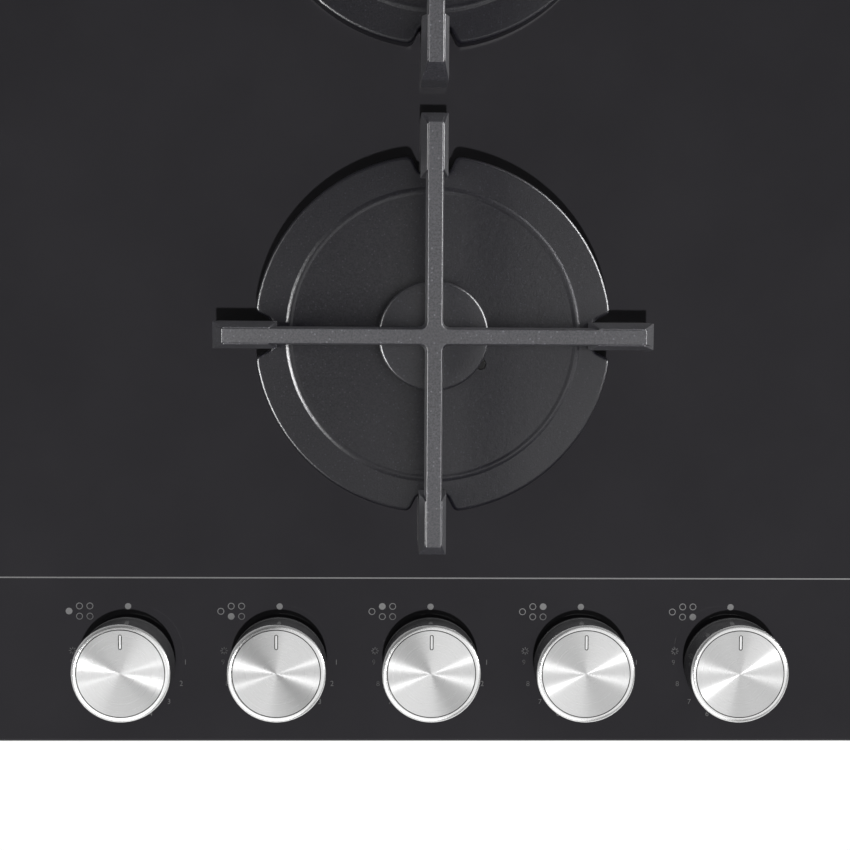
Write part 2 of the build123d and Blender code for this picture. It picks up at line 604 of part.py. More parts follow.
# ---- taps and knobs ----------------------------------------------------------------------------------
def make_tap_body(x):
    """The tap body holds the turning plug in a closed bore, with a nipple into the manifold behind it."""
    back = TAP_DEPTH / 2
    body = block((-TAP_WIDTH / 2, TAP_WIDTH / 2), (-back, back), (TAP_TOP - TAP_BODY_HEIGHT, TAP_TOP))
    body = fillet(body.edges().filter_by(Axis.Z), TAP_CORNER_RADIUS)
    flange_size = (TAP_FLANGE_WIDTH, TAP_FLANGE_DEPTH, TAP_CORNER_RADIUS)
    flange = slab(*flange_size, TAP_TOP - TAP_FLANGE_THICKNESS, TAP_FLANGE_THICKNESS)
    for side in (-TAP_SCREW_OFFSET, TAP_SCREW_OFFSET):
        flange -= disc(SCREW_RADIUS + SEAT_CLEARANCE, TAP_TOP - TAP_FLANGE_THICKNESS, TAP_TOP, side)
    body += flange
    body += along_y(TAP_NIPPLE_RADIUS, 0, MANIFOLD_Z, back - TAP_SOCKET_DEPTH, back + TAP_NIPPLE_LENGTH)
    body -= disc(PLUG_RADIUS, PLUG_TOP - PLUG_LENGTH - AXIAL_CLEARANCE, PLUG_TOP + AXIAL_CLEARANCE)
    body -= disc(STEM_RADIUS + FIT_CLEARANCE, PLUG_TOP, TAP_TOP)
    body -= along_y(PIPE_RADIUS + SEAT_CLEARANCE, 0, PIPE_Z, back - TAP_SOCKET_DEPTH, back)
    body -= along_y(TAP_PASSAGE_RADIUS, 0, PIPE_Z, 0, back)
    body -= along_y(TAP_PASSAGE_RADIUS, 0, MANIFOLD_Z, 0, back + TAP_NIPPLE_LENGTH)
    return Pos(x, KNOB_ROW_Y, 0) * body


def make_plug(x):
    """The plug turns in the tap body. The stem slides in its D-shaped socket."""
    plug = disc(PLUG_RADIUS - RUNNING_CLEARANCE, PLUG_TOP - PLUG_LENGTH, PLUG_TOP)
    plug -= Pos(0, 0, PLUG_TOP - PLUG_LENGTH + PLUG_FLOOR) * stem_socket(PLUG_LENGTH - PLUG_FLOOR)
    return Pos(x, KNOB_ROW_Y, 0) * plug


def stem_socket(length):
    return extrude(d_section(STEM_RADIUS + RUNNING_CLEARANCE, STEM_FLAT + RUNNING_CLEARANCE), length)


def make_stem(x):
    bottom = PLUG_TOP - PLUG_LENGTH + PLUG_FLOOR + PUSH_TRAVEL + STEM_END_CLEARANCE
    stem = Pos(0, 0, bottom) * extrude(d_section(STEM_RADIUS, STEM_FLAT), STEM_TOP - bottom)
    return Pos(x, KNOB_ROW_Y, 0) * stem


def make_stem_seal(x):
    """A silicone collar that seals the stem where it comes through the glass."""
    flange_top = GLASS_TOP + STEM_SEAL_FLANGE_THICKNESS
    seal = disc(STEM_SEAL_RADIUS, GLASS_BOTTOM, GLASS_TOP)
    seal += disc(STEM_SEAL_FLANGE_RADIUS, GLASS_TOP, flange_top)
    seal -= disc(STEM_RADIUS + FIT_CLEARANCE, GLASS_BOTTOM, flange_top)
    return Pos(x, KNOB_ROW_Y, 0) * seal


def make_knob(x):
    """The black knob body: a hollow shell with a hub that takes the stem."""
    knob = fillet(edges_at(disc(KNOB_RADIUS, KNOB_BOTTOM, FACE_BOTTOM), KNOB_BOTTOM), KNOB_EDGE_ROUND)
    shell_inner = KNOB_RADIUS - KNOB_WALL
    roof = FACE_BOTTOM - KNOB_WALL
    hub_bottom = KNOB_BOTTOM + KNOB_HUB_RECESS
    knob -= disc(shell_inner, KNOB_BOTTOM, roof)
    across = (-KNOB_RIB / 2, KNOB_RIB / 2)
    rib = block((0, shell_inner + KNOB_WALL / 2), across, (roof - KNOB_RIB_DEPTH, roof))
    for index in range(KNOB_RIB_COUNT):
        knob += Rot(0, 0, 360.0 * index / KNOB_RIB_COUNT) * rib
    knob += disc(KNOB_HUB_RADIUS, hub_bottom, roof)
    knob -= Pos(0, 0, hub_bottom) * stem_socket(STEM_IN_KNOB)
    return Pos(x, KNOB_ROW_Y, 0) * knob


def make_knob_face(x):
    """The spun metal face: a bevelled bright ring, a fine groove, a flat disc and the pointer slot."""
    disc_radius = KNOB_RADIUS - FACE_RING_WIDTH
    outline = [(0, FACE_BOTTOM), (KNOB_RADIUS, FACE_BOTTOM), (KNOB_RADIUS, KNOB_TOP - FACE_RING_DROP)]
    outline += [(disc_radius, KNOB_TOP), (0, KNOB_TOP)]
    face = revolve(Plane.XZ * make_face(Polyline(*outline, close=True)), Axis.Z)
    face -= tube(disc_radius, disc_radius - FACE_GROOVE_WIDTH, KNOB_TOP - FACE_GROOVE_DEPTH, KNOB_TOP)
    length = POINTER_OUTER - POINTER_INNER
    pointer = extrude(SlotOverall(length, POINTER_WIDTH, rotation=90), POINTER_DEPTH)
    face -= Pos(0, POINTER_INNER + length / 2, KNOB_TOP - POINTER_DEPTH) * pointer
    return Pos(x, KNOB_ROW_Y, 0) * face


# ---- gas pipes, manifold and inlet -------------------------------------------------------------------
def sweep_pipe(points, z, bend_radius, outer, inner):
    route = FilletPolyline(*[(x, y, z) for x, y in points], radius=bend_radius)
    section = Plane(origin=route @ 0, z_dir=route % 0) * (Circle(outer) - Circle(inner))
    return sweep(section, path=route)


def pipe_points(index, burner):
    """The way from a tap to its burner. It turns aside where a cup or another pipe is in the way."""
    x = knob_x(index)
    points = [(x, KNOB_ROW_Y + TAP_DEPTH / 2 - TAP_SOCKET_DEPTH)]
    if burner.name == "rear_centre":
        side = x + PIPE_BYPASS_X
        points += [(x, BEHIND_TAPS_Y), (side, BEHIND_TAPS_Y + PIPE_RETURN)]
        points += [(side, BETWEEN_ROWS_Y - PIPE_RETURN), (x, BETWEEN_ROWS_Y + PIPE_RETURN)]
    elif burner.name == "rear_right":
        side = x + PIPE_OUTER_X
        points += [(x, BEHIND_TAPS_Y), (side, LANE_Y), (side, BETWEEN_ROWS_Y), (burner.x, BETWEEN_ROWS_Y)]
    else:
        points += [(x, LANE_Y), (burner.x, LANE_Y)]
    points.append((burner.x, burner.y - BOSS_RADIUS + PIPE_SOCKET_DEPTH))
    return points


def make_gas_pipe(index, burner):
    points = pipe_points(index, burner)
    return sweep_pipe(points, PIPE_Z, PIPE_BEND_RADIUS, PIPE_RADIUS, PIPE_RADIUS - PIPE_WALL)


def make_manifold():
    left = knob_x(0) - MANIFOLD_LEFT_OVERHANG
    points = [(left, MANIFOLD_Y), (MANIFOLD_X, MANIFOLD_Y)]
    points.append((MANIFOLD_X, TRAY_BACK + MANIFOLD_STUB))
    inner = MANIFOLD_RADIUS - MANIFOLD_WALL
    manifold = sweep_pipe(points, MANIFOLD_Z, MANIFOLD_BEND_RADIUS, MANIFOLD_RADIUS, inner)
    end_cap = Rot(0, 90, 0) * Cylinder(MANIFOLD_RADIUS, MANIFOLD_WALL)
    manifold += Pos(left - MANIFOLD_WALL / 2, MANIFOLD_Y, MANIFOLD_Z) * end_cap
    nipple_hole = TAP_NIPPLE_RADIUS + SEAT_CLEARANCE
    for index in range(len(BURNERS)):
        manifold -= along_y(nipple_hole, knob_x(index), MANIFOLD_Z, KNOB_ROW_Y, MANIFOLD_Y)
    return manifold


def hex_bar(flats, x, z, start, end):
    """A hexagonal bar along Y from start to end."""
    bar = extrude(RegularPolygon(flats / 2, 6, major_radius=False), end - start)
    return Pos(x, end, z) * Rot(90, 0, 0) * bar


def make_inlet():
    x, z = MANIFOLD_X, MANIFOLD_Z
    thread_start = TRAY_BACK + INLET_HEX_LENGTH
    thread_end = thread_start + INLET_THREAD_LENGTH
    inlet = hex_bar(INLET_HEX_FLATS, x, z, TRAY_BACK, thread_start)
    inlet += along_y(INLET_THREAD_RADIUS, x, z, thread_start, thread_end)
    inlet -= along_y(MANIFOLD_RADIUS + SEAT_CLEARANCE, x, z, TRAY_BACK, TRAY_BACK + MANIFOLD_STUB)
    return inlet - along_y(MANIFOLD_RADIUS - MANIFOLD_WALL, x, z, TRAY_BACK, thread_end)


# ---- electrics ---------------------------------------------------------------------------------------
def make_generator():
    """The ignition generator stands on the tray's floor, with one outlet for each electrode."""
    width, depth, height = GENERATOR_SIZE
    x = -SIDE_COLUMN_X + GENERATOR_FROM_WOK
    y = TRAY_BACK - GENERATOR_FROM_TRAY_BACK
    generator = slab(width, depth, GENERATOR_ROUND, TRAY_FLOOR, height)
    for index in range(len(BURNERS)):
        offset_x = (index - (len(BURNERS) - 1) / 2) * OUTLET_PITCH
        generator += disc(OUTLET_RADIUS, TRAY_FLOOR + height, TRAY_FLOOR + height + OUTLET_HEIGHT, offset_x)
    return Pos(x, y, 0) * generator


def make_terminal_box():
    width, depth, height = TERMINAL_SIZE
    back = TRAY_BACK - SHEET
    box = Pos(TERMINAL_X, back - depth / 2, 0) * slab(width, depth, GENERATOR_ROUND, TRAY_FLOOR, height)
    spigot_start = back - GLAND_SPIGOT_LENGTH - FIT_CLEARANCE
    return box - along_y(GLAND_RADIUS + FIT_CLEARANCE, TERMINAL_X, GLAND_Z, spigot_start, back)


def make_gland():
    start = TRAY_BACK - SHEET - GLAND_SPIGOT_LENGTH
    end = TRAY_BACK + GLAND_NUT_LENGTH
    gland = along_y(GLAND_RADIUS, TERMINAL_X, GLAND_Z, start, TRAY_BACK)
    gland += hex_bar(GLAND_NUT_FLATS, TERMINAL_X, GLAND_Z, TRAY_BACK, end)
    return gland - along_y(GLAND_BORE_RADIUS, TERMINAL_X, GLAND_Z, start, end)


# ---- the nodes ---------------------------------------------------------------------------------------
def build_parts():
    parts = {
        "glass_top": make_glass(),
        "edge_seal": make_seal(),
        "base_tray": make_tray(),
        "gas_manifold": make_manifold(),
        "inlet_fitting": make_inlet(),
        "ignition_generator": make_generator(),
        "terminal_box": make_terminal_box(),
        "cable_gland": make_gland(),
        "burner_screws": make_burner_screws(),
        "tap_screws": make_tap_screws(),
    }
    columns = sorted({burner.x for burner in BURNERS})
    bridges = [make_bridge(x, [burner for burner in BURNERS if burner.x == x]) for x in columns]
    parts["support_bridges"] = bridges + [make_tap_rail()]
    parts["burner_cups"] = [make_cup(burner) for burner in BURNERS]
    parts["cup_gaskets"] = [make_gasket(burner) for burner in BURNERS]
    parts["injectors"] = [make_injector(burner) for burner in BURNERS]
    parts["spark_electrodes"] = [make_electrode(burner) for burner in BURNERS]
    parts["thermocouples"] = [make_thermocouple(burner) for burner in BURNERS]
    parts["gas_pipes"] = [make_gas_pipe(index, burner) for index, burner in enumerate(BURNERS)]
    parts["tap_bodies"] = [make_tap_body(knob_x(index)) for index in range(len(BURNERS))]
    parts["stem_seals"] = [make_stem_seal(knob_x(index)) for index in range(len(BURNERS))]
    for index, burner in enumerate(BURNERS):
        x = knob_x(index)
        parts[burner.name + "_cover"] = make_cover(burner)
        parts[burner.name + "_crown"] = make_crown(burner)
        opening = burner.crown - WOK_RING_WIDTH - WOK_INNER_GAP if burner.is_wok else 0.0
        parts[burner.name + "_cap"] = burner.place(make_cap(burner.crown, opening))
        parts[burner.name + "_trivet"] = make_trivet(burner)
        parts[burner.name + "_tap_plug"] = make_plug(x)
        parts[burner.name + "_tap_stem"] = make_stem(x)
        parts[burner.name + "_knob"] = make_knob(x)
        parts[burner.name + "_knob_face"] = make_knob_face(x)
    wok = next(burner for burner in BURNERS if burner.is_wok)
    parts["wok_inner_cap"] = wok.place(make_cap(WOK_INNER_CROWN_RADIUS))
    return parts


os.makedirs("parts", exist_ok=True)
for name, shape in build_parts().items():
    solid = Compound(children=shape) if isinstance(shape, list) else shape
    export_step(solid, f"parts/{name}.step")
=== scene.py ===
import math

import bmesh
import bpy
from mathutils import Matrix, Vector


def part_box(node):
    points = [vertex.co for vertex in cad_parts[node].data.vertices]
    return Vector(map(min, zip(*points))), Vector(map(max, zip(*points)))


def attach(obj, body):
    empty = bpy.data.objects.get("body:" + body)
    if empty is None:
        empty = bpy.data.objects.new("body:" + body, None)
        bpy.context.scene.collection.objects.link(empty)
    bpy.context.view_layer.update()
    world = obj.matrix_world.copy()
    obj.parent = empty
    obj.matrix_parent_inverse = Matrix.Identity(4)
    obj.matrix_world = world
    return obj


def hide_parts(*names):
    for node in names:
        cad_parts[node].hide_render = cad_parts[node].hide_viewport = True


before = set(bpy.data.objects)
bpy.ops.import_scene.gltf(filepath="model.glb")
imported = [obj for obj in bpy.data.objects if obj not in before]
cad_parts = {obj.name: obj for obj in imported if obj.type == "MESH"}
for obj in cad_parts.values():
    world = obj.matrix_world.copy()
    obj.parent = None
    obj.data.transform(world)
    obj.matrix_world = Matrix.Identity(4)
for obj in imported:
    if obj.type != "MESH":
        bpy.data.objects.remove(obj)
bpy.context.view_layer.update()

MM = 0.001
BURNERS = ("wok", "front_centre", "rear_centre", "rear_right", "front_right")
NUMERALS = range(1, 10)

# ---- places taken from the frame, in metres ----------------------------------------------------------
GLASS_LOW, GLASS_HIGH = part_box("glass_top")
GLASS_TOP = GLASS_HIGH.z
TRAY_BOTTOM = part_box("base_tray")[0].z

# ---- trivets -----------------------------------------------------------------------------------------
FOOT_LENGTH = 27.8 * MM
FOOT_WIDTH = 12.0 * MM
FOOT_SHOULDER_HEIGHT = 24.0 * MM
FOOT_SOLE_HEIGHT = 11.3 * MM
FOOT_OUTER_SLOPE = 5.6 * MM
FOOT_INNER_SLOPE = 1.6 * MM
FOOT_TOP_DROP = 0.6 * MM
SOLE_START = 3.8 * MM
ARM_TOP_WIDTH = 6.4 * MM
ARM_BOTTOM_WIDTH = 8.0 * MM
ARM_HEIGHT = 11.0 * MM
ARM_CORNER = 3.0 * MM
EDGE_ROUND = 0.9 * MM
EDGE_ANGLE = 14.0
EDGE_SEGMENTS = 4
SOLE_ROUND = 0.4 * MM
SOLE_ANGLE = 30.0
SOLE_SEGMENTS = 2

# ---- cover plates ------------------------------------------------------------------------------------
FEET_BEYOND_COVER = 17.0 * MM
COVER_STEP_INSET = 16.0 * MM
COVER_STEP_HEIGHT = 1.0 * MM
COVER_EDGE = 1.6 * MM
COVER_WALL = 3.0 * MM
COVER_HOLLOW = 2.6 * MM
NOTCH_MOUTH = 10.4 * MM
NOTCH_NARROW = 6.7 * MM
NOTCH_FROM_REACH = 25.2 * MM
NOTCH_CORNER = 3.0 * MM
NOTCH_LEAD_ANGLE = 6.0
BEAD_WIDTH = 3.6 * MM
BEAD_RISE = 0.36 * MM
BEAD_POWER = 1.5
MIDDLE_RISE = 0.3 * MM
OPENING_CLEARANCE = 1.5 * MM
ELECTRODE_GAP = 4.2 * MM
ELECTRODE_HOLE = 2.6 * MM
ELECTRODE_ANGLE = -31.0
THERMOCOUPLE_GAP = 1.6 * MM
THERMOCOUPLE_HOLE = 2.0 * MM
THERMOCOUPLE_ANGLE = 149.0

# ---- burner caps -------------------------------------------------------------------------------------
CAP_RIM_GROWTH = 0.6 * MM
CAP_ROUND = 1.3 * MM
CAP_ROUND_SHARE = 0.92
CAP_LIP_WIDTH = 4.0 * MM
CAP_LIP_CHAMFER = 0.8 * MM
CAP_LIP_HEIGHT = 0.9 * MM
CAP_OUTER_SHARE, CAP_OUTER_DROP = 0.7, 0.03 * MM
CAP_INNER_SHARE, CAP_INNER_DROP = 0.35, 0.005 * MM
CAP_MIDDLE_SHARE = 0.1

# ---- knobs -------------------------------------------------------------------------------------------
FACE_RADIUS = 22.45 * MM
FACE_RING_WIDTH = 2.3 * MM
FACE_RING_DROP = 1.2 * MM
FACE_RING_POWER = 0.9
GROOVE_WIDTH = 0.42 * MM
GROOVE_DEPTH = 0.3 * MM
POINTER_INNER = 10.9 * MM
POINTER_OUTER = 17.9 * MM
POINTER_WIDTH = 1.7 * MM
POINTER_DEPTH = 0.4 * MM
POINTER_GAP = 0.4 * MM
POINTER_INLAY_DROP = 0.05 * MM
# Slot 2 paints the pointer's slot, the groove and the foot of the bevel near-black: painted shade in these
# recesses.
RING_SLOT, SHADE_SLOT, INLAY_SLOT = 1, 2, 3
SKIRT_HEIGHT = 2.6 * MM
SKIRT_BELOW = 0.1 * MM
SKIRT_PROUD = 0.12 * MM
SKIRT_ROUND = 0.25 * MM
SKIRT_BORE = 12.5 * MM

# ---- prints on the glass -----------------------------------------------------------------------------
INK = 0.03 * MM
MARK_SLOT = 1
DIAL_RADIUS = 26.3 * MM
OFF_DOT_RADIUS = 1.45 * MM
NUMERAL_STEP = 22.5
NUMERAL_FONT_SIZE = 3.5 * MM
NUMERAL_THINNING = 0.04 * MM
NUMERAL_RESOLUTION = 4
SPARK_ANGLE = 168.0
SPARK_RAYS = 8
SPARK_INNER = 0.75 * MM
SPARK_OUTER = 1.75 * MM
SPARK_RAY_WIDTH = 0.36 * MM
PICTOGRAM_PITCH = 4.8 * MM
PICTOGRAM_CIRCLE = 1.4 * MM
PICTOGRAM_LINE = 0.32 * MM
PICTOGRAM_FROM_DOT = Vector((-20.0 * MM, -2.3 * MM, 0.0))
DIVIDING_LINE_Y = -182.8 * MM
DIVIDING_LINE_WIDTH = 0.6 * MM
DIVIDING_LINE_END_GAP = 1.0 * MM

# ---- steps and smoothing -----------------------------------------------------------------------------
LATHE_STEPS = 240
DISC_STEPS = 48
CORNER_STEPS = 6
RIM_STEPS = 36
BEAD_STEPS = 12
CAP_STEPS = 6
PILL_STEPS = 10
BEVEL_STEPS = 8
IRON_SMOOTH = 60.0
PLATE_SMOOTH = 50.0
KNOB_SMOOTH = 40.0

# ---- looks; texture scales are per metre -------------------------------------------------------------
SKIN_NOISE_ROUGHNESS = 0.6
SAND_NOISE_ROUGHNESS = 0.65
SAND_START, SAND_END = 0.36, 0.66
SAND_HEIGHT, SAND_STRENGTH = 0.1 * MM, 0.6
SAND_SMOOTHER, SAND_ROUGHER = 0.02, 0.03
CLOUD_SCALE = 28.0
CLOUD_SHARE = 0.35
LUMP_SCALE_SHARE = 0.22
LUMP_HEIGHT, LUMP_STRENGTH = 0.2 * MM, 0.35
# Painted glints: sparse bright flecks in the enamel's colour, brighter than its lightest tone.
GLINT_FLECK_SCALE = 0.7
GLINT_FLECK_RARITY = 0.88
GLINT_FLECK_SIZE = 0.34
GLINT_FLECK_GAIN = 1.8
SPANGLE_SCALE = 190.0
SPANGLE_HEIGHT, SPANGLE_STRENGTH = 0.02 * MM, 0.3
SPUN_ROTATION = 0.25
SPUN_DARKEST = 0.93
SPUN_ROUGH_SPREAD = 0.03
TIP_LEVEL = 10.0 * MM
TIP_BLEND = 0.6 * MM
FLOOR_COLOUR = (0.85, 0.85, 0.84)
FLOOR_ROUGHNESS = 0.8
FLOOR_LIFT = 0.7
WHITE = (1.0, 1.0, 1.0, 1.0)

# ---- camera and studio -------------------------------------------------------------------------------
CAMERA_PLACE = Vector((-19.854 * MM, -53.847 * MM, 752.762 * MM))
CAMERA_TILT = (4.435, 1.288, -0.238)
FOCAL_PIXELS = 1620.22
FRAME_PIXELS = 850.0
SENSOR_WIDTH = 36.0
CLIP_START, CLIP_END = 0.01, 50.0
FLOOR_SIZE = 30.0
FLOOR_GAP = 0.5 * MM
WORLD_LOW, WORLD_HIGH = 0.5, 0.05
WORLD_START, WORLD_END = 0.15, 0.95
HOB_MIDDLE = (0.0, -0.07, 0.02)
BURNER_ROW = (0.0, 0.0, 0.01)
KNOB_ROW = (0.0, -0.22, 0.03)
STREAK_SPREAD, STREAK_SHIFT = 1.95, -0.245
STREAK_Y, STREAK_Z = -0.318, 0.65
STREAK_SIZE = (0.06, 0.05)
STREAK_POWER, STREAK_FADE = 0.28, 0.9


# ---- small helpers -----------------------------------------------------------------------------------
def put_in_scene(name, data):
    thing = bpy.data.objects.new(name, data)
    bpy.context.scene.collection.objects.link(thing)
    return thing


def mesh_piece(name, bm, material, smooth_angle=None):
    mesh = bpy.data.meshes.new(name)
    bmesh.ops.recalc_face_normals(bm, faces=bm.faces)
    bm.to_mesh(mesh)
    bm.free()
    mesh.materials.append(material)
    piece = put_in_scene(name, mesh)
    if smooth_angle is not None:
        mesh.shade_smooth()
        mesh.set_sharp_from_angle(angle=math.radians(smooth_angle))
    return piece


def place_piece(piece, body, slot, spot, *replaced):
    piece.location = spot
    bpy.context.view_layer.update()
    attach(piece, body)
    if replaced:
        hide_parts(*replaced)


def middle_of(node):
    low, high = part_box(node)
    return Vector(((low.x + high.x) / 2, (low.y + high.y) / 2, 0.0))


def half_span(low, high):
    return (high.x - low.x) / 2


def turn(angle):
    return math.cos(math.radians(angle)), math.sin(math.radians(angle))


def polar(radius, angle, z=0.0):
    """The point at a radius and an angle in degrees, at height z."""
    across, up = turn(angle)
    return Vector((radius * across, radius * up, z))


def about_z(angle):
    return Matrix.Rotation(math.radians(angle), 3, "Z")


def add_node(tree, kind, inputs=None, **settings):
    """Add a shader node. Its inputs take sockets or plain values."""
    node = tree.nodes.new(kind)
    for name, value in settings.items():
        setattr(node, name, value)
    for key, value in (inputs or {}).items():
        if isinstance(value, bpy.types.NodeSocket):
            tree.links.new(value, node.inputs[key])
        else:
            node.inputs[key].default_value = value
    return node


# ---- node materials ----------------------------------------------------------------------------------
class Paint:
    """One node material around a Principled shader, textured in the object's own coordinates."""

    def __init__(self, name, **settings):
        self.material = bpy.data.materials.new(name)
        self.material.use_nodes = True
        self.tree = self.material.node_tree
        self.tree.nodes.clear()
        output = self.add("ShaderNodeOutputMaterial")
        self.shader = self.add("ShaderNodeBsdfPrincipled")
        self.tree.links.new(self.shader.outputs["BSDF"], output.inputs["Surface"])
        for socket, value in settings.items():
            self.shader.inputs[socket.replace("_", " ")].default_value = value
        self.place = self.add("ShaderNodeTexCoord").outputs["Object"]

    def add(self, kind, inputs=None, **settings):
        return add_node(self.tree, kind, inputs, **settings)

    def link(self, output, socket):
        self.tree.links.new(output, self.shader.inputs[socket])

    def noise(self, scale, detail=3.0, roughness=0.5, stretch=(1.0, 1.0, 1.0)):
        mapped = self.add("ShaderNodeMapping", {"Vector": self.place, "Scale": stretch})
        inputs = {"Vector": mapped.outputs[0], "Scale": scale, "Detail": detail, "Roughness": roughness}
        return self.add("ShaderNodeTexNoise", inputs).outputs["Fac"]

    def cells(self, scale):
        """Voronoi cells: their distance, and one random value for each."""
        texture = self.add("ShaderNodeTexVoronoi", {"Vector": self.place, "Scale": scale})
        lot = self.add("ShaderNodeSeparateColor", {"Color": texture.outputs["Color"]})
        return texture.outputs["Distance"], lot.outputs[0]

    def combine(self, operation, first, second, clamp=False):
        inputs = {0: first, 1: second}
        return self.add("ShaderNodeMath", inputs, operation=operation, use_clamp=clamp).outputs[0]

    def spread(self, value, low, high, start=0.3, end=0.7):
        """Map start..end of a texture to low..high."""
        inputs = {"Value": value, "From Min": start, "From Max": end, "To Min": low, "To Max": high}
        return self.add("ShaderNodeMapRange", inputs).outputs["Result"]

    def blend(self, factor, under, over):
        """Mix from under, a colour or a socket, to the colour over."""
        # The node's colour sockets go by number, because its other kinds of socket have the same names.
        first, second, result = 6, 7, 2
        if not isinstance(under, bpy.types.NodeSocket):
            under = (*under, 1.0)
        inputs = {"Factor": factor, first: under, second: (*over, 1.0)}
        return self.add("ShaderNodeMix", inputs, data_type="RGBA").outputs[result]

    def bump(self, height, distance, strength=1.0, under=None):
        inputs = {"Height": height, "Distance": distance, "Strength": strength}
        if under is not None:
            inputs["Normal"] = under
        return self.add("ShaderNodeBump", inputs).outputs["Normal"]


def grey(value):
    return (value, value, value)


def glass_material():
    """Polished glass, printed black from below, with a thin film of wiping marks."""
    paint = Paint("glass_black", Roughness=0.04, IOR=1.5)
    film = paint.spread(paint.noise(scale=14.0, detail=4.0, roughness=SKIN_NOISE_ROUGHNESS), 0.0, 1.0)
    paint.link(paint.blend(film, (0.0208, 0.0200, 0.0225), (0.0243, 0.0234, 0.0262)), "Base Color")
    smear = paint.noise(scale=45.0, detail=5.0, roughness=SKIN_NOISE_ROUGHNESS, stretch=(1.0, 0.35, 1.0))
    paint.link(paint.spread(smear, 0.025, 0.07), "Roughness")
    paint.link(paint.bump(paint.noise(scale=9.0, detail=1.0), 0.04 * MM, 0.4), "Normal")
    return paint.material


def iron_material(name, dark, light, grain, rough, ior):
    """Matt enamel on cast iron: a sandy skin, with small bright flecks painted into the colour as glints."""
    paint = Paint(name, IOR=ior)
    sand = paint.noise(grain, roughness=SAND_NOISE_ROUGHNESS)
    mottle = paint.spread(paint.noise(CLOUD_SCALE), 0.0, CLOUD_SHARE)
    tone = paint.combine("ADD", paint.spread(sand, 0.0, 1.0, SAND_START, SAND_END), mottle, clamp=True)
    # Sparse bright flecks painted into the colour: painted glints.
    distance, lot = paint.cells(grain * GLINT_FLECK_SCALE)
    rare = paint.combine("GREATER_THAN", lot, GLINT_FLECK_RARITY)
    near = paint.combine("LESS_THAN", distance, GLINT_FLECK_SIZE)
    glint_fleck = paint.combine("MULTIPLY", rare, near)
    bright = tuple(channel * GLINT_FLECK_GAIN for channel in light)
    paint.link(paint.blend(glint_fleck, paint.blend(tone, dark, light), bright), "Base Color")
    paint.link(paint.spread(sand, rough - SAND_SMOOTHER, rough + SAND_ROUGHER), "Roughness")
    lumps = paint.bump(paint.noise(grain * LUMP_SCALE_SHARE, detail=2.0), LUMP_HEIGHT, LUMP_STRENGTH)
    paint.link(paint.bump(sand, SAND_HEIGHT, SAND_STRENGTH, lumps), "Normal")
    return paint.material


def skin_material(name, dark, light, rough, scale, height, detail, smoother, rougher, strength, **settings):
    """One noise drives colour, roughness and relief."""
    paint = Paint(name, **settings)
    skin = paint.noise(scale, detail, SKIN_NOISE_ROUGHNESS)
    paint.link(paint.blend(paint.spread(skin, 0.0, 1.0), dark, light), "Base Color")
    paint.link(paint.spread(skin, rough - smoother, rough + rougher), "Roughness")
    paint.link(paint.bump(skin, height, strength), "Normal")
    return paint.material


def metal_material(name, dark, light, rough, scale, height=0.04 * MM):
    return skin_material(name, dark, light, rough, scale, height, detail=4.0, smoother=0.06, rougher=0.08,
                         strength=0.5, Metallic=1.0)


def soft_material(name, dark, light, rough, scale, height=0.06 * MM, **settings):
    return skin_material(name, dark, light, rough, scale, height, detail=3.0, smoother=0.07, rougher=0.07,
                         strength=0.6, **settings)


def galvanised_material():
    """Zinc-coated sheet with its spangle."""
    paint = Paint("sheet_galvanised", Metallic=1.0)
    tint = paint.cells(SPANGLE_SCALE)[1]
    paint.link(paint.blend(tint, (0.52, 0.53, 0.54), (0.62, 0.63, 0.64)), "Base Color")
    paint.link(paint.spread(tint, 0.32, 0.5, 0.0, 1.0), "Roughness")
    paint.link(paint.bump(tint, SPANGLE_HEIGHT, SPANGLE_STRENGTH), "Normal")
    return paint.material


def spun_material(name, colour, rough, anisotropic, groove_scale, groove_depth):
    """Metal turned on a lathe: fine rings round the axis stretch every highlight along the radius."""
    paint = Paint(name, Metallic=1.0, Anisotropic=anisotropic, Anisotropic_Rotation=SPUN_ROTATION)
    flat = paint.add("ShaderNodeVectorMath", {0: paint.place, 1: (1.0, 1.0, 0.0)}, operation="MULTIPLY")
    radius = paint.add("ShaderNodeVectorMath", {0: flat.outputs[0]}, operation="LENGTH").outputs["Value"]
    rings = paint.add("ShaderNodeTexNoise", {"W": radius, "Scale": groove_scale, "Detail": 4.0},
                      noise_dimensions="1D").outputs["Fac"]
    dark = tuple(channel * SPUN_DARKEST for channel in colour)
    paint.link(paint.blend(paint.spread(rings, 0.0, 1.0), dark, colour), "Base Color")
    paint.link(paint.spread(rings, rough - SPUN_ROUGH_SPREAD, rough + SPUN_ROUGH_SPREAD), "Roughness")
    paint.link(paint.bump(rings, groove_depth), "Normal")
    ring_tangent = paint.add("ShaderNodeTangent", direction_type="RADIAL", axis="Z")
    paint.link(ring_tangent.outputs[0], "Tangent")
    return paint.material


def electrode_material():
    """Glazed ceramic below, near-black above a set height."""
    paint = Paint("ceramic_electrode", Roughness=0.6)
    height = paint.add("ShaderNodeSeparateXYZ", {0: paint.place}).outputs["Z"]
    glaze = paint.spread(paint.noise(scale=900.0, roughness=SKIN_NOISE_ROUGHNESS), 0.0, 1.0)
    tip = paint.spread(height, 0.0, 1.0, TIP_LEVEL - TIP_BLEND, TIP_LEVEL)
    skin = paint.blend(glaze, (0.74, 0.72, 0.67), (0.84, 0.82, 0.78))
    paint.link(paint.blend(tip, skin, (0.012, 0.011, 0.011)), "Base Color")
    return paint.material


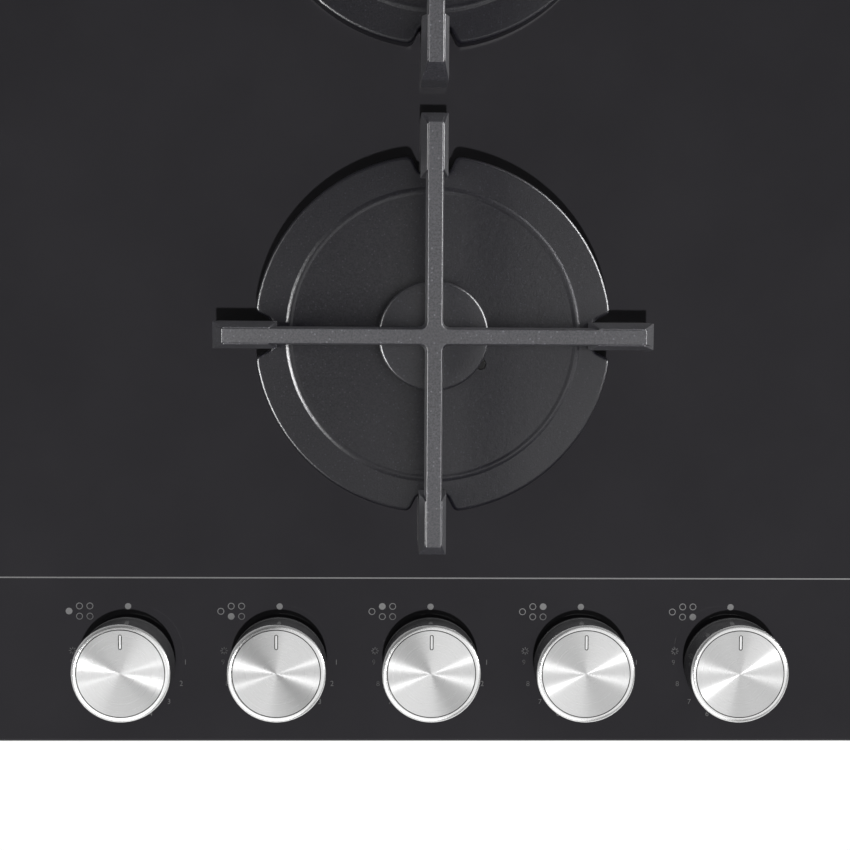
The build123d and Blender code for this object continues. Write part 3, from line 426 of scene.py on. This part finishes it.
def floor_material():
    """Pale studio floor. The camera sees it lifted towards white, with the object's shadow on it."""
    paint = Paint("studio_floor", Roughness=FLOOR_ROUGHNESS, Base_Color=(*FLOOR_COLOUR, 1.0), Emission_Color=WHITE)
    path = paint.add("ShaderNodeLightPath")
    seen = path.outputs["Is Camera Ray"]
    for ray in ("Is Glossy Ray", "Is Transmission Ray"):
        seen = paint.combine("MAXIMUM", seen, path.outputs[ray])
    paint.link(paint.combine("MULTIPLY", seen, FLOOR_LIFT), "Emission Strength")
    return paint.material


GLASS = glass_material()
TRIVET_IRON = iron_material("iron_trivet", dark=(0.034, 0.033, 0.042), light=(0.102, 0.100, 0.119),
                            grain=1100.0, rough=0.46, ior=1.46)
COVER_IRON = iron_material("iron_cover", dark=(0.005, 0.004, 0.010), light=(0.017, 0.016, 0.0245),
                           grain=1300.0, rough=0.34, ior=1.38)
ENAMEL = iron_material("enamel_cap", dark=(0.0105, 0.010, 0.0155), light=(0.0285, 0.0275, 0.0375),
                       grain=1100.0, rough=0.36, ior=1.41)
SHEET = galvanised_material()
CAST_ALUMINIUM = metal_material("aluminium_cast", dark=(0.42, 0.42, 0.43), light=(0.6, 0.6, 0.61),
                                rough=0.5, scale=700.0, height=0.1 * MM)
PIPE_ALUMINIUM = metal_material("aluminium_pipe", dark=(0.62, 0.62, 0.63), light=(0.76, 0.76, 0.77),
                                rough=0.3, scale=160.0)
BRASS = metal_material("brass_turned", dark=(0.6, 0.45, 0.2), light=(0.76, 0.6, 0.32), rough=0.28, scale=220.0)
STEEL = metal_material("steel_zinc", dark=(0.47, 0.47, 0.48), light=(0.62, 0.62, 0.63), rough=0.32, scale=300.0)
ELECTRODE = electrode_material()
FOAM = soft_material("foam_black", dark=grey(0.03), light=grey(0.065), rough=0.85, scale=1400.0, height=0.3 * MM)
SILICONE = soft_material("silicone_dark", dark=(0.014, 0.014, 0.015), light=(0.022, 0.022, 0.023),
                         rough=0.5, scale=500.0)
PLASTIC = soft_material("plastic_black", dark=(0.028, 0.028, 0.029), light=(0.045, 0.045, 0.046),
                        rough=0.48, scale=900.0, height=0.08 * MM)
KNOB_BLACK = soft_material("knob_gloss", dark=(0.030, 0.030, 0.031), light=(0.040, 0.040, 0.041),
                           rough=0.12, scale=220.0, height=0.006 * MM, IOR=1.5)
SPUN = spun_material("aluminium_spun", colour=grey(0.8), rough=0.30, anisotropic=1.0,
                     groove_scale=5200.0, groove_depth=0.004 * MM)
RING_METAL = spun_material("aluminium_bevel", colour=grey(0.9), rough=0.26, anisotropic=0.3,
                           groove_scale=3000.0, groove_depth=0.001 * MM)
# Painted shade: near-black for the knob pointer's slot and the face's groove.
SLOT_AND_GROOVE_SHADE = soft_material("painted_slot_and_groove_shade", dark=grey(0.02), light=grey(0.03), rough=0.6, scale=2000.0,
                             height=0.02 * MM)
POINTER_BRIGHT = metal_material("pointer_inlay", dark=grey(0.84), light=grey(0.9), rough=0.5, scale=2000.0)
INK_GREY = soft_material("ink_grey", dark=(0.44, 0.44, 0.445), light=(0.54, 0.54, 0.545),
                         rough=0.45, scale=2600.0, height=0.01 * MM)
INK_PALE = soft_material("ink_pale", dark=grey(0.30), light=grey(0.38), rough=0.45, scale=2600.0,
                         height=0.01 * MM)
FLOOR = floor_material()

NODE_MATERIALS = {
    "glass_top": GLASS, "edge_seal": FOAM, "base_tray": SHEET, "support_bridges": SHEET,
    "burner_cups": CAST_ALUMINIUM, "cup_gaskets": FOAM, "injectors": BRASS, "spark_electrodes": ELECTRODE,
    "thermocouples": STEEL, "tap_bodies": CAST_ALUMINIUM, "gas_manifold": STEEL, "inlet_fitting": BRASS,
    "gas_pipes": PIPE_ALUMINIUM, "ignition_generator": PLASTIC, "terminal_box": PLASTIC,
    "cable_gland": PLASTIC, "stem_seals": SILICONE, "burner_screws": STEEL, "tap_screws": STEEL,
    "wok_inner_cap": ENAMEL}
BURNER_MATERIALS = {
    "cover": COVER_IRON, "crown": CAST_ALUMINIUM, "cap": ENAMEL, "trivet": TRIVET_IRON, "tap_plug": BRASS,
    "tap_stem": STEEL, "knob": KNOB_BLACK, "knob_face": SPUN}


def dress_nodes():
    for burner in BURNERS:
        for part, material in BURNER_MATERIALS.items():
            NODE_MATERIALS[f"{burner}_{part}"] = material
    for name, material in NODE_MATERIALS.items():
        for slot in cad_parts[name].material_slots:
            slot.material = material


# ---- rings of points ---------------------------------------------------------------------------------
def circle(radius, z, count=LATHE_STEPS):
    return [polar(radius, 360.0 * i / count, z) for i in range(count)]


def add_points(bm, points):
    return [bm.verts.new(point) for point in points]


def join_rings(bm, lower, upper, slot=0):
    count = len(lower)
    for i in range(count):
        j = (i + 1) % count
        face = bm.faces.new((lower[i], lower[j], upper[j], upper[i]))
        face.material_index = slot


def join_all(bm, rings):
    for lower, upper in zip(rings, rings[1:]):
        join_rings(bm, lower, upper)


def stack(bm, outlines, closed=True):
    """Join outlines of equal point count one above the other."""
    rings = [add_points(bm, outline) for outline in outlines]
    join_all(bm, rings)
    if closed:
        bm.faces.new(rings[0])
        bm.faces.new(rings[-1])
    return rings


def fill_between(bm, *rings):
    """Fill the flat area between two closed rings of points."""
    edges = []
    for ring in rings:
        for index, point in enumerate(ring):
            pair = (point, ring[(index + 1) % len(ring)])
            edges.append(bm.edges.get(pair) or bm.edges.new(pair))
    bmesh.ops.triangle_fill(bm, use_beauty=True, use_dissolve=False, edges=edges, normal=(0.0, 0.0, 1.0))


def round_edges(piece, width, angle, segments):
    """Round a piece's sharp edges, as a casting has them."""
    bevel = piece.modifiers.new("edges", "BEVEL")
    bevel.width = width
    bevel.segments = segments
    bevel.limit_method = "ANGLE"
    bevel.angle_limit = math.radians(angle)
    bevel.harden_normals = True


# ---- trivets -----------------------------------------------------------------------------------------
def cross_outline(reach, half_width, z):
    """The outline of a four-armed cross with rounded inner corners."""
    outline = []
    for quarter in range(4):
        points = [Vector((reach, -half_width, z)), Vector((reach, half_width, z))]
        middle = Vector((half_width + ARM_CORNER, half_width + ARM_CORNER, z))
        for step in range(CORNER_STEPS + 1):
            points.append(middle + polar(ARM_CORNER, 270.0 - 90.0 * step / CORNER_STEPS))
        outline += [about_z(90.0 * quarter) @ point for point in points]
    return outline


def box_outline(start, end, half_width, z):
    return [Vector((start, -half_width, z)), Vector((end, -half_width, z)), Vector((end, half_width, z)),
            Vector((start, half_width, z))]


def four_feet(bm, outlines):
    """Stack one foot's outlines along X, and again on the other three arms."""
    for quarter in range(4):
        first = len(bm.verts)
        stack(bm, outlines)
        bm.verts.ensure_lookup_table()
        bmesh.ops.rotate(bm, verts=bm.verts[first:], matrix=about_z(90.0 * quarter))


def add_trivet(burner):
    """The cross with the upper part of its feet, and the soles as a piece of their own."""
    node = burner + "_trivet"
    low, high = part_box(node)
    spot = middle_of(node)
    reach = half_span(low, high)
    inner = reach - FOOT_LENGTH
    top, shoulder, sole_top = high.z, low.z + FOOT_SHOULDER_HEIGHT, low.z + FOOT_SOLE_HEIGHT
    arm_end = reach - FOOT_OUTER_SLOPE
    arm_flare = FOOT_OUTER_SLOPE * ARM_HEIGHT / (top - shoulder)

    bm = bmesh.new()
    stack(bm, [cross_outline(arm_end + arm_flare, ARM_BOTTOM_WIDTH / 2, top - ARM_HEIGHT),
               cross_outline(arm_end, ARM_TOP_WIDTH / 2, top)])
    four_feet(bm, [box_outline(inner, reach, FOOT_WIDTH / 2, sole_top),
                   box_outline(inner, reach, FOOT_WIDTH / 2, shoulder),
                   box_outline(inner + FOOT_INNER_SLOPE, arm_end - FOOT_TOP_DROP,
                               ARM_TOP_WIDTH / 2 + FOOT_TOP_DROP, top - FOOT_TOP_DROP)])
    cross = mesh_piece(node + "_cross", bm, TRIVET_IRON, IRON_SMOOTH)
    round_edges(cross, EDGE_ROUND, EDGE_ANGLE, EDGE_SEGMENTS)
    place_piece(cross, node, "cast_iron", spot, node)

    bm = bmesh.new()
    four_feet(bm, [box_outline(inner + SOLE_START, reach, FOOT_WIDTH / 2, z) for z in (low.z, sole_top)])
    soles = mesh_piece(node + "_soles", bm, TRIVET_IRON, IRON_SMOOTH)
    round_edges(soles, SOLE_ROUND, SOLE_ANGLE, SOLE_SEGMENTS)
    place_piece(soles, node, "cast_iron", spot)
    return soles


# ---- cover plates ------------------------------------------------------------------------------------
def rounded_corner(before, corner, after, radius):
    """The arc that rounds a corner of an outline."""
    back, ahead = (before - corner).normalized(), (after - corner).normalized()
    half = back.angle(ahead) / 2
    middle = corner + (back + ahead).normalized() * (radius / math.sin(half))
    start = corner + back * (radius / math.tan(half)) - middle
    end = corner + ahead * (radius / math.tan(half)) - middle
    first = math.atan2(start.y, start.x)
    sweep = (math.atan2(end.y, end.x) - first + math.pi) % (2 * math.pi) - math.pi
    return [middle + polar(radius, math.degrees(first + sweep * step / CORNER_STEPS))
            for step in range(CORNER_STEPS + 1)]


def cover_outline(radius, bottom):
    """The round outline with a notch for each foot, counter-clockwise."""
    rim_x = math.sqrt(radius ** 2 - NOTCH_MOUTH ** 2)
    beside = math.degrees(math.asin(NOTCH_MOUTH / radius)) + NOTCH_LEAD_ANGLE
    chain = [polar(radius, -beside),
             Vector((rim_x, -NOTCH_MOUTH, 0.0)), Vector((bottom, -NOTCH_NARROW, 0.0)),
             Vector((bottom, NOTCH_NARROW, 0.0)), Vector((rim_x, NOTCH_MOUTH, 0.0)),
             polar(radius, beside)]
    quarter = []
    for previous, corner, following in zip(chain, chain[1:], chain[2:]):
        quarter += rounded_corner(previous, corner, following, NOTCH_CORNER)
    first = math.degrees(math.atan2(quarter[-1].y, quarter[-1].x))
    for step in range(1, RIM_STEPS):
        quarter.append(polar(radius, first + (90.0 - 2 * first) * step / RIM_STEPS))
    return [about_z(90.0 * index) @ point for index in range(4) for point in quarter]


def inset(outline, distance, z):
    """The outline moved inwards by a distance, at height z."""
    moved = []
    for index, point in enumerate(outline):
        along = (outline[(index + 1) % len(outline)] - outline[index - 1]).normalized()
        moved.append(Vector((point.x - along.y * distance, point.y + along.x * distance, z)))
    return moved


def opening_outline(radius, probes, z):
    """The opening for the crown, with a bay where a probe stands beside it."""
    points = []
    for index in range(LATHE_STEPS):
        angle = 360.0 * index / LATHE_STEPS
        reach = radius
        for probe_place, bay_radius, probe_angle in probes:
            off = math.radians((angle - probe_angle + 180.0) % 360.0 - 180.0)
            side = probe_place * math.sin(off)
            if abs(side) < bay_radius and math.cos(off) > 0.0:
                reach = max(reach, probe_place * math.cos(off) + math.sqrt(bay_radius ** 2 - side ** 2))
        points.append(polar(reach, angle, z))
    return points


def bead_profile(middle_radius, ground):
    """Radius and height across the bead, from the rim's level outside to the middle's inside."""
    profile = []
    for step in range(BEAD_STEPS + 1):
        share = step / BEAD_STEPS
        lift = BEAD_RISE * math.sin(math.pi * share) ** BEAD_POWER
        profile.append((middle_radius + BEAD_WIDTH * (0.5 - share), ground + MIDDLE_RISE * share + lift))
    return profile


def add_cover(burner):
    """The cover plate: notched outline, rolled rim, a raised bead and the opening for the crown."""
    node = burner + "_cover"
    low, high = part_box(node)
    reach = half_span(*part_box(burner + "_trivet"))
    crown = half_span(*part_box(burner + "_crown"))
    # The notches shorten the plate's own box, so its radius comes from the trivet that stands over it.
    radius = reach - FEET_BEYOND_COVER
    rim_top = high.z - COVER_STEP_HEIGHT
    ceiling = rim_top - COVER_WALL
    outline = cover_outline(radius, reach - NOTCH_FROM_REACH)
    probes = []
    if burner != "wok":
        probes = [(crown + ELECTRODE_GAP, ELECTRODE_HOLE, ELECTRODE_ANGLE),
                  (crown + THERMOCOUPLE_GAP, THERMOCOUPLE_HOLE, THERMOCOUPLE_ANGLE)]

    bm = bmesh.new()
    layers = [inset(outline, 0.0, low.z), inset(outline, 0.0, rim_top - COVER_EDGE)]
    for step in range(1, CORNER_STEPS + 1):
        across, up = turn(90.0 * step / CORNER_STEPS)
        layers.append(inset(outline, COVER_EDGE * (1.0 - across), rim_top - COVER_EDGE * (1.0 - up)))
    skin = stack(bm, layers, closed=False)
    profile = bead_profile(radius - COVER_STEP_INSET, rim_top)
    bead = [add_points(bm, circle(across, height)) for across, height in profile]
    join_all(bm, bead)
    fill_between(bm, skin[-1], bead[0])
    mouth = add_points(bm, opening_outline(crown + OPENING_CLEARANCE, probes, profile[-1][1]))
    lip = add_points(bm, opening_outline(crown + OPENING_CLEARANCE, probes, ceiling))
    join_all(bm, [bead[-1], mouth, lip])
    hollow_top = add_points(bm, inset(outline, COVER_HOLLOW, ceiling))
    fill_between(bm, lip, hollow_top)
    hollow_low = add_points(bm, inset(outline, COVER_HOLLOW, low.z))
    join_all(bm, [hollow_top, hollow_low, skin[0]])
    cover = mesh_piece(node + "_plate", bm, COVER_IRON, PLATE_SMOOTH)
    cover.modifiers.new("flat_faces_first", "WEIGHTED_NORMAL").keep_sharp = True
    place_piece(cover, node, "cast_iron", middle_of(node), node)
    return cover


# ---- burner caps -------------------------------------------------------------------------------------
def add_cap(burner):
    """A burner cap with a rolled rim and a nearly flat top."""
    node = burner + "_cap"
    low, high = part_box(node)
    radius = half_span(low, high) + CAP_RIM_GROWTH
    profile = [(radius - CAP_LIP_WIDTH, low.z), (radius - CAP_LIP_CHAMFER, low.z),
               (radius, low.z + CAP_LIP_HEIGHT), (radius, high.z - CAP_ROUND)]
    for step in range(1, CAP_STEPS + 1):
        across, up = turn(90.0 * step / CAP_STEPS)
        profile.append((radius - CAP_ROUND * (1.0 - across),
                        high.z - CAP_ROUND + CAP_ROUND * CAP_ROUND_SHARE * up))
    profile += [(radius * CAP_OUTER_SHARE, high.z - CAP_OUTER_DROP),
                (radius * CAP_INNER_SHARE, high.z - CAP_INNER_DROP), (radius * CAP_MIDDLE_SHARE, high.z)]
    bm = bmesh.new()
    rings = stack(bm, [circle(across, height) for across, height in profile], closed=False)
    bm.faces.new(rings[-1])
    cap = mesh_piece(node + "_top", bm, ENAMEL, IRON_SMOOTH)
    place_piece(cap, node, "enamel", middle_of(node), node)


# ---- knobs -------------------------------------------------------------------------------------------
def pill(shrink, z):
    """The pointer's slot with its round ends, made smaller all round by shrink."""
    half_width = POINTER_WIDTH / 2 - shrink
    straight = (POINTER_OUTER - POINTER_INNER - POINTER_WIDTH) / 2
    middle_y = (POINTER_INNER + POINTER_OUTER) / 2
    points = []
    for end, start_angle in ((1.0, 0.0), (-1.0, 180.0)):
        centre = Vector((0.0, middle_y + end * straight, 0.0))
        for step in range(PILL_STEPS + 1):
            points.append(centre + polar(half_width, start_angle + 180.0 * step / PILL_STEPS, z))
    return points


def add_knob_face(burner):
    """The spun disc with its groove, the polished bevel round it and the inlaid pointer; the pointer's slot and
    the groove are painted near-black as painted shade.
    """
    node = burner + "_knob_face"
    low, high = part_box(node)
    top = high.z - low.z
    inner = FACE_RADIUS - FACE_RING_WIDTH
    disc_edge = inner - GROOVE_WIDTH
    bm = bmesh.new()
    rim = add_points(bm, circle(disc_edge, top))
    slot_top = add_points(bm, pill(0.0, top))
    fill_between(bm, rim, slot_top)
    slot_floor = add_points(bm, pill(0.0, top - POINTER_DEPTH))
    # The slot's walls and floor are painted near-black: painted shade.
    join_rings(bm, slot_floor, slot_top, SHADE_SLOT)
    bm.faces.new(slot_floor).material_index = SHADE_SLOT
    inlay_low = add_points(bm, pill(POINTER_GAP, top - POINTER_DEPTH))
    inlay_top = add_points(bm, pill(POINTER_GAP, top - POINTER_INLAY_DROP))
    join_rings(bm, inlay_low, inlay_top, INLAY_SLOT)
    bm.faces.new(inlay_top).material_index = INLAY_SLOT

    groove = add_points(bm, circle(disc_edge, top - GROOVE_DEPTH))
    previous = add_points(bm, circle(inner, top - GROOVE_DEPTH))
    # The groove and the foot of the bevel are painted near-black: painted shade.
    join_rings(bm, groove, rim, SHADE_SLOT)
    join_rings(bm, previous, groove, SHADE_SLOT)
    for step in range(BEVEL_STEPS + 1):
        across, up = turn(90.0 * step / BEVEL_STEPS)
        ring = add_points(bm, circle(inner + FACE_RING_WIDTH * up ** FACE_RING_POWER,
                                     top - FACE_RING_DROP * (1.0 - across) ** FACE_RING_POWER))
        join_rings(bm, ring, previous, SHADE_SLOT if step == 0 else RING_SLOT)
        previous = ring
    foot = add_points(bm, circle(FACE_RADIUS, 0.0))
    join_rings(bm, foot, previous, RING_SLOT)
    bm.faces.new(foot).material_index = RING_SLOT
    face = mesh_piece(node + "_spun", bm, SPUN, KNOB_SMOOTH)
    for extra in (RING_METAL, SLOT_AND_GROOVE_SHADE, POINTER_BRIGHT):
        face.data.materials.append(extra)
    spot = middle_of(node)
    spot.z = low.z
    place_piece(face, burner + "_knob", "knob_aluminium", spot, node)
    return face


def add_knob_skirt(burner):
    """The gloss ring that closes the knob below, just proud of its wall."""
    node = burner + "_knob"
    low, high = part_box(node)
    radius = half_span(low, high) + SKIRT_PROUD
    profile = [(SKIRT_BORE, 0.0), (radius - SKIRT_ROUND, 0.0), (radius, SKIRT_ROUND),
               (radius, SKIRT_HEIGHT - SKIRT_ROUND), (radius - SKIRT_ROUND, SKIRT_HEIGHT),
               (SKIRT_BORE, SKIRT_HEIGHT)]
    bm = bmesh.new()
    rings = stack(bm, [circle(across, height) for across, height in profile], closed=False)
    join_rings(bm, rings[-1], rings[0])
    skirt = mesh_piece(node + "_skirt", bm, KNOB_BLACK, PLATE_SMOOTH)
    spot = middle_of(node)
    spot.z = low.z - SKIRT_BELOW
    place_piece(skirt, node, "knob_black", spot)
    return skirt


# ---- prints ------------------------------------------------------------------------------------------
def flat_disc(bm, middle, outer, inner=0.0):
    """A printed disc or ring on the glass."""
    def ring(radius, z):
        return add_points(bm, [middle + point for point in circle(radius, z, DISC_STEPS)])

    rim = ring(outer, GLASS_TOP + INK)
    join_rings(bm, ring(outer, GLASS_TOP), rim)
    if inner <= 0.0:
        bm.faces.new(rim)
        return
    join_all(bm, [rim, ring(inner, GLASS_TOP + INK), ring(inner, GLASS_TOP)])


def flat_bar(bm, start, end, width):
    """A printed stroke on the glass from start to end."""
    along = (end - start).normalized()
    side = Vector((-along.y, along.x, 0.0)) * (width / 2)
    corners = [start + side, start - side, end - side, end + side]
    top = add_points(bm, [Vector((corner.x, corner.y, GLASS_TOP + INK)) for corner in corners])
    sole = add_points(bm, [Vector((corner.x, corner.y, GLASS_TOP)) for corner in corners])
    join_rings(bm, sole, top)
    bm.faces.new(top)


def finish_print(piece):
    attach(piece, "root")


def numeral_mesh(text):
    """One numeral of the dial as a flat mesh about its own middle."""
    curve = bpy.data.curves.new("numeral", "FONT")
    curve.body = text
    curve.align_x = "CENTER"
    curve.align_y = "CENTER"
    curve.size = NUMERAL_FONT_SIZE
    curve.extrude = INK / 2
    curve.offset = -NUMERAL_THINNING
    curve.resolution_u = NUMERAL_RESOLUTION
    holder = put_in_scene("numeral", curve)
    mesh = bpy.data.meshes.new_from_object(holder.evaluated_get(bpy.context.evaluated_depsgraph_get()))
    bpy.data.objects.remove(holder)
    return mesh


def print_dial(burner, numerals):
    """The numerals, the off dot and the spark symbol round one knob."""
    axis = middle_of(burner + "_knob")
    bm = bmesh.new()
    for index, mesh in enumerate(numerals):
        first = len(bm.verts)
        bm.from_mesh(mesh)
        bm.verts.ensure_lookup_table()
        place = axis + polar(DIAL_RADIUS, -NUMERAL_STEP * index, GLASS_TOP + INK / 2)
        bmesh.ops.translate(bm, verts=bm.verts[first:], vec=place)
    first_mark = len(bm.faces)
    flat_disc(bm, axis + polar(DIAL_RADIUS, 90.0), OFF_DOT_RADIUS)
    spark = axis + polar(DIAL_RADIUS, SPARK_ANGLE)
    for ray in range(SPARK_RAYS):
        angle = 360.0 * ray / SPARK_RAYS
        flat_bar(bm, spark + polar(SPARK_INNER, angle), spark + polar(SPARK_OUTER, angle), SPARK_RAY_WIDTH)
    bm.faces.ensure_lookup_table()
    for face in bm.faces[first_mark:]:
        face.material_index = MARK_SLOT
    dial = mesh_piece(f"{burner}_dial_print", bm, INK_PALE)
    dial.data.materials.append(INK_GREY)
    finish_print(dial)


def print_burner_symbol(index, burner):
    """The diagram of the five burners, with the knob's own one filled in."""
    middle = middle_of(burner + "_knob") + polar(DIAL_RADIUS, 90.0) + PICTOGRAM_FROM_DOT
    half = PICTOGRAM_PITCH / 2
    places = (Vector((-half - PICTOGRAM_PITCH, 0.0, 0.0)), Vector((-half, -half, 0.0)),
              Vector((-half, half, 0.0)), Vector((half, half, 0.0)), Vector((half, -half, 0.0)))
    outer, inner = PICTOGRAM_CIRCLE + PICTOGRAM_LINE / 2, PICTOGRAM_CIRCLE - PICTOGRAM_LINE / 2
    bm = bmesh.new()
    for place_index, offset in enumerate(places):
        flat_disc(bm, middle + offset, outer, 0.0 if place_index == index else inner)
    finish_print(mesh_piece(f"{burner}_burner_symbol", bm, INK_GREY))


def print_line():
    bm = bmesh.new()
    flat_bar(bm, Vector((GLASS_LOW.x + DIVIDING_LINE_END_GAP, DIVIDING_LINE_Y, 0.0)),
             Vector((GLASS_HIGH.x - DIVIDING_LINE_END_GAP, DIVIDING_LINE_Y, 0.0)), DIVIDING_LINE_WIDTH)
    finish_print(mesh_piece("dividing_line_print", bm, INK_GREY))


# ---- studio ------------------------------------------------------------------------------------------
def add_camera():
    camera = put_in_scene("photo_camera", bpy.data.cameras.new("photo_camera"))
    to_camera = Matrix.Identity(3)
    for axis, angle in zip("XYZ", CAMERA_TILT):
        to_camera = Matrix.Rotation(math.radians(angle), 3, axis) @ to_camera
    camera.matrix_world = Matrix.Translation(CAMERA_PLACE) @ to_camera.transposed().to_4x4()
    camera.data.sensor_width = SENSOR_WIDTH
    camera.data.lens = FOCAL_PIXELS * SENSOR_WIDTH / FRAME_PIXELS
    camera.data.clip_start = CLIP_START
    camera.data.clip_end = CLIP_END
    bpy.context.scene.camera = camera


def add_floor():
    bm = bmesh.new()
    bmesh.ops.create_grid(bm, x_segments=2, y_segments=2, size=FLOOR_SIZE)
    bmesh.ops.translate(bm, verts=bm.verts, vec=(0.0, 0.0, TRAY_BOTTOM - FLOOR_GAP))
    mesh_piece("floor", bm, FLOOR)


def collect(name, things):
    group = bpy.data.collections.new(name)
    for thing in things:
        group.objects.link(thing)
    return group


def softbox(name, place, target, size, power, lit=None, unlit=None, blockers=None, glossy=True, diffuse=True):
    """A rectangular studio light at place, turned to target, for all or only some pieces."""
    lamp = bpy.data.lights.new(name, "AREA")
    lamp.shape = "RECTANGLE"
    lamp.size, lamp.size_y = size
    lamp.energy = power
    light = put_in_scene(name, lamp)
    place, target = Vector(place), Vector(target)
    facing = (target - place).to_track_quat("-Z", "Y").to_matrix().to_4x4()
    light.matrix_world = Matrix.Translation(place) @ facing
    light.visible_camera = False
    light.visible_glossy = glossy
    light.visible_diffuse = diffuse
    if lit or unlit:
        group = collect(name + "_lit", lit or unlit)
        if unlit:
            for member in group.collection_objects:
                member.light_linking.link_state = "EXCLUDE"
        light.light_linking.receiver_collection = group
    if blockers:
        light.light_linking.blocker_collection = collect(name + "_blockers", blockers)


def add_world():
    """Dim overhead, brighter towards the horizon, white where the camera looks past the floor."""
    world = bpy.data.worlds.new("studio")
    bpy.context.scene.world = world
    world.use_nodes = True
    tree = world.node_tree
    tree.nodes.clear()
    direction = add_node(tree, "ShaderNodeTexCoord").outputs["Generated"]
    height = add_node(tree, "ShaderNodeSeparateXYZ", {0: direction}).outputs["Z"]
    glow = add_node(tree, "ShaderNodeMapRange", {"Value": height, "From Min": WORLD_START,
                                                 "From Max": WORLD_END, "To Min": WORLD_LOW,
                                                 "To Max": WORLD_HIGH})
    seen = add_node(tree, "ShaderNodeLightPath").outputs["Is Camera Ray"]
    strength = add_node(tree, "ShaderNodeMix", {"Factor": seen, "A": glow.outputs[0], "B": 1.0})
    background = add_node(tree, "ShaderNodeBackground", {"Color": WHITE, "Strength": strength.outputs[0]})
    output = add_node(tree, "ShaderNodeOutputWorld")
    tree.links.new(background.outputs[0], output.inputs[0])


def add_lights(soles, faces, skirts, covers):
    """Two low rim lights for the castings, soft fills and narrow streaks for the spun faces."""
    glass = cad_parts["glass_top"]
    knobs = [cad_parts[burner + "_knob"] for burner in BURNERS]
    enamelled = [piece for piece in bpy.context.scene.objects
                 if piece.type == "MESH" and piece.active_material in (TRIVET_IRON, COVER_IRON, ENAMEL)]
    softbox("overhead", place=(0.52, -0.30, 1.5), target=HOB_MIDDLE, size=(0.9, 0.9), power=7.5,
            unlit=[glass] + knobs + skirts + faces)
    softbox("right_rim", place=(1.10, 0.33, 0.36), target=HOB_MIDDLE, size=(1.1, 0.55), power=104.0,
            lit=enamelled, diffuse=False)
    softbox("left_rim", place=(-0.92, -0.26, 0.78), target=HOB_MIDDLE, size=(0.7, 0.3), power=68.0,
            lit=enamelled, diffuse=False)
    softbox("knob_fill", place=(0.52, -0.32, 1.3), target=KNOB_ROW, size=(1.6, 1.5), power=6.2, lit=faces)
    softbox("knob_fill_left", place=(-0.345, -0.51, 1.25), target=KNOB_ROW, size=(1.0, 1.0), power=1.1,
            lit=faces[:1])
    softbox("knob_front", place=(-0.4, -0.95, 0.8), target=KNOB_ROW, size=(1.4, 0.8), power=5.0, lit=faces)
    softbox("knob_back", place=(0.3, 1.0, 0.7), target=KNOB_ROW, size=(1.2, 0.5), power=32.0,
            lit=knobs + skirts)
    softbox("knob_right", place=(0.76, -0.154, 0.582), target=KNOB_ROW, size=(0.04, 0.04), power=2.4,
            lit=faces + knobs)
    for burner, face in zip(BURNERS, faces):
        axis = middle_of(burner + "_knob")
        softbox(burner + "_streak", place=(STREAK_SPREAD * axis.x + STREAK_SHIFT, STREAK_Y, STREAK_Z),
                target=axis, size=STREAK_SIZE, power=STREAK_POWER - STREAK_FADE * axis.x, lit=[face])
    softbox("front", place=(0.05, -1.17, 2.1), target=BURNER_ROW, size=(0.12, 0.12), power=62.0, lit=[glass],
            blockers=covers + soles + skirts, glossy=False)


# ---- build -------------------------------------------------------------------------------------------
dress_nodes()
trivet_soles = [add_trivet(burner) for burner in BURNERS]
knob_faces = [add_knob_face(burner) for burner in BURNERS]
knob_skirts = [add_knob_skirt(burner) for burner in BURNERS]
cover_plates = [add_cover(burner) for burner in BURNERS]
for name in BURNERS[1:]:
    add_cap(name)
dial_numerals = [numeral_mesh(str(number)) for number in NUMERALS]
for number, name in enumerate(BURNERS):
    print_dial(name, dial_numerals)
    print_burner_symbol(number, name)
print_line()
add_camera()
add_floor()
add_world()
add_lights(trivet_soles, knob_faces, knob_skirts, cover_plates)

view = bpy.context.scene.view_settings
view.view_transform = "Standard"
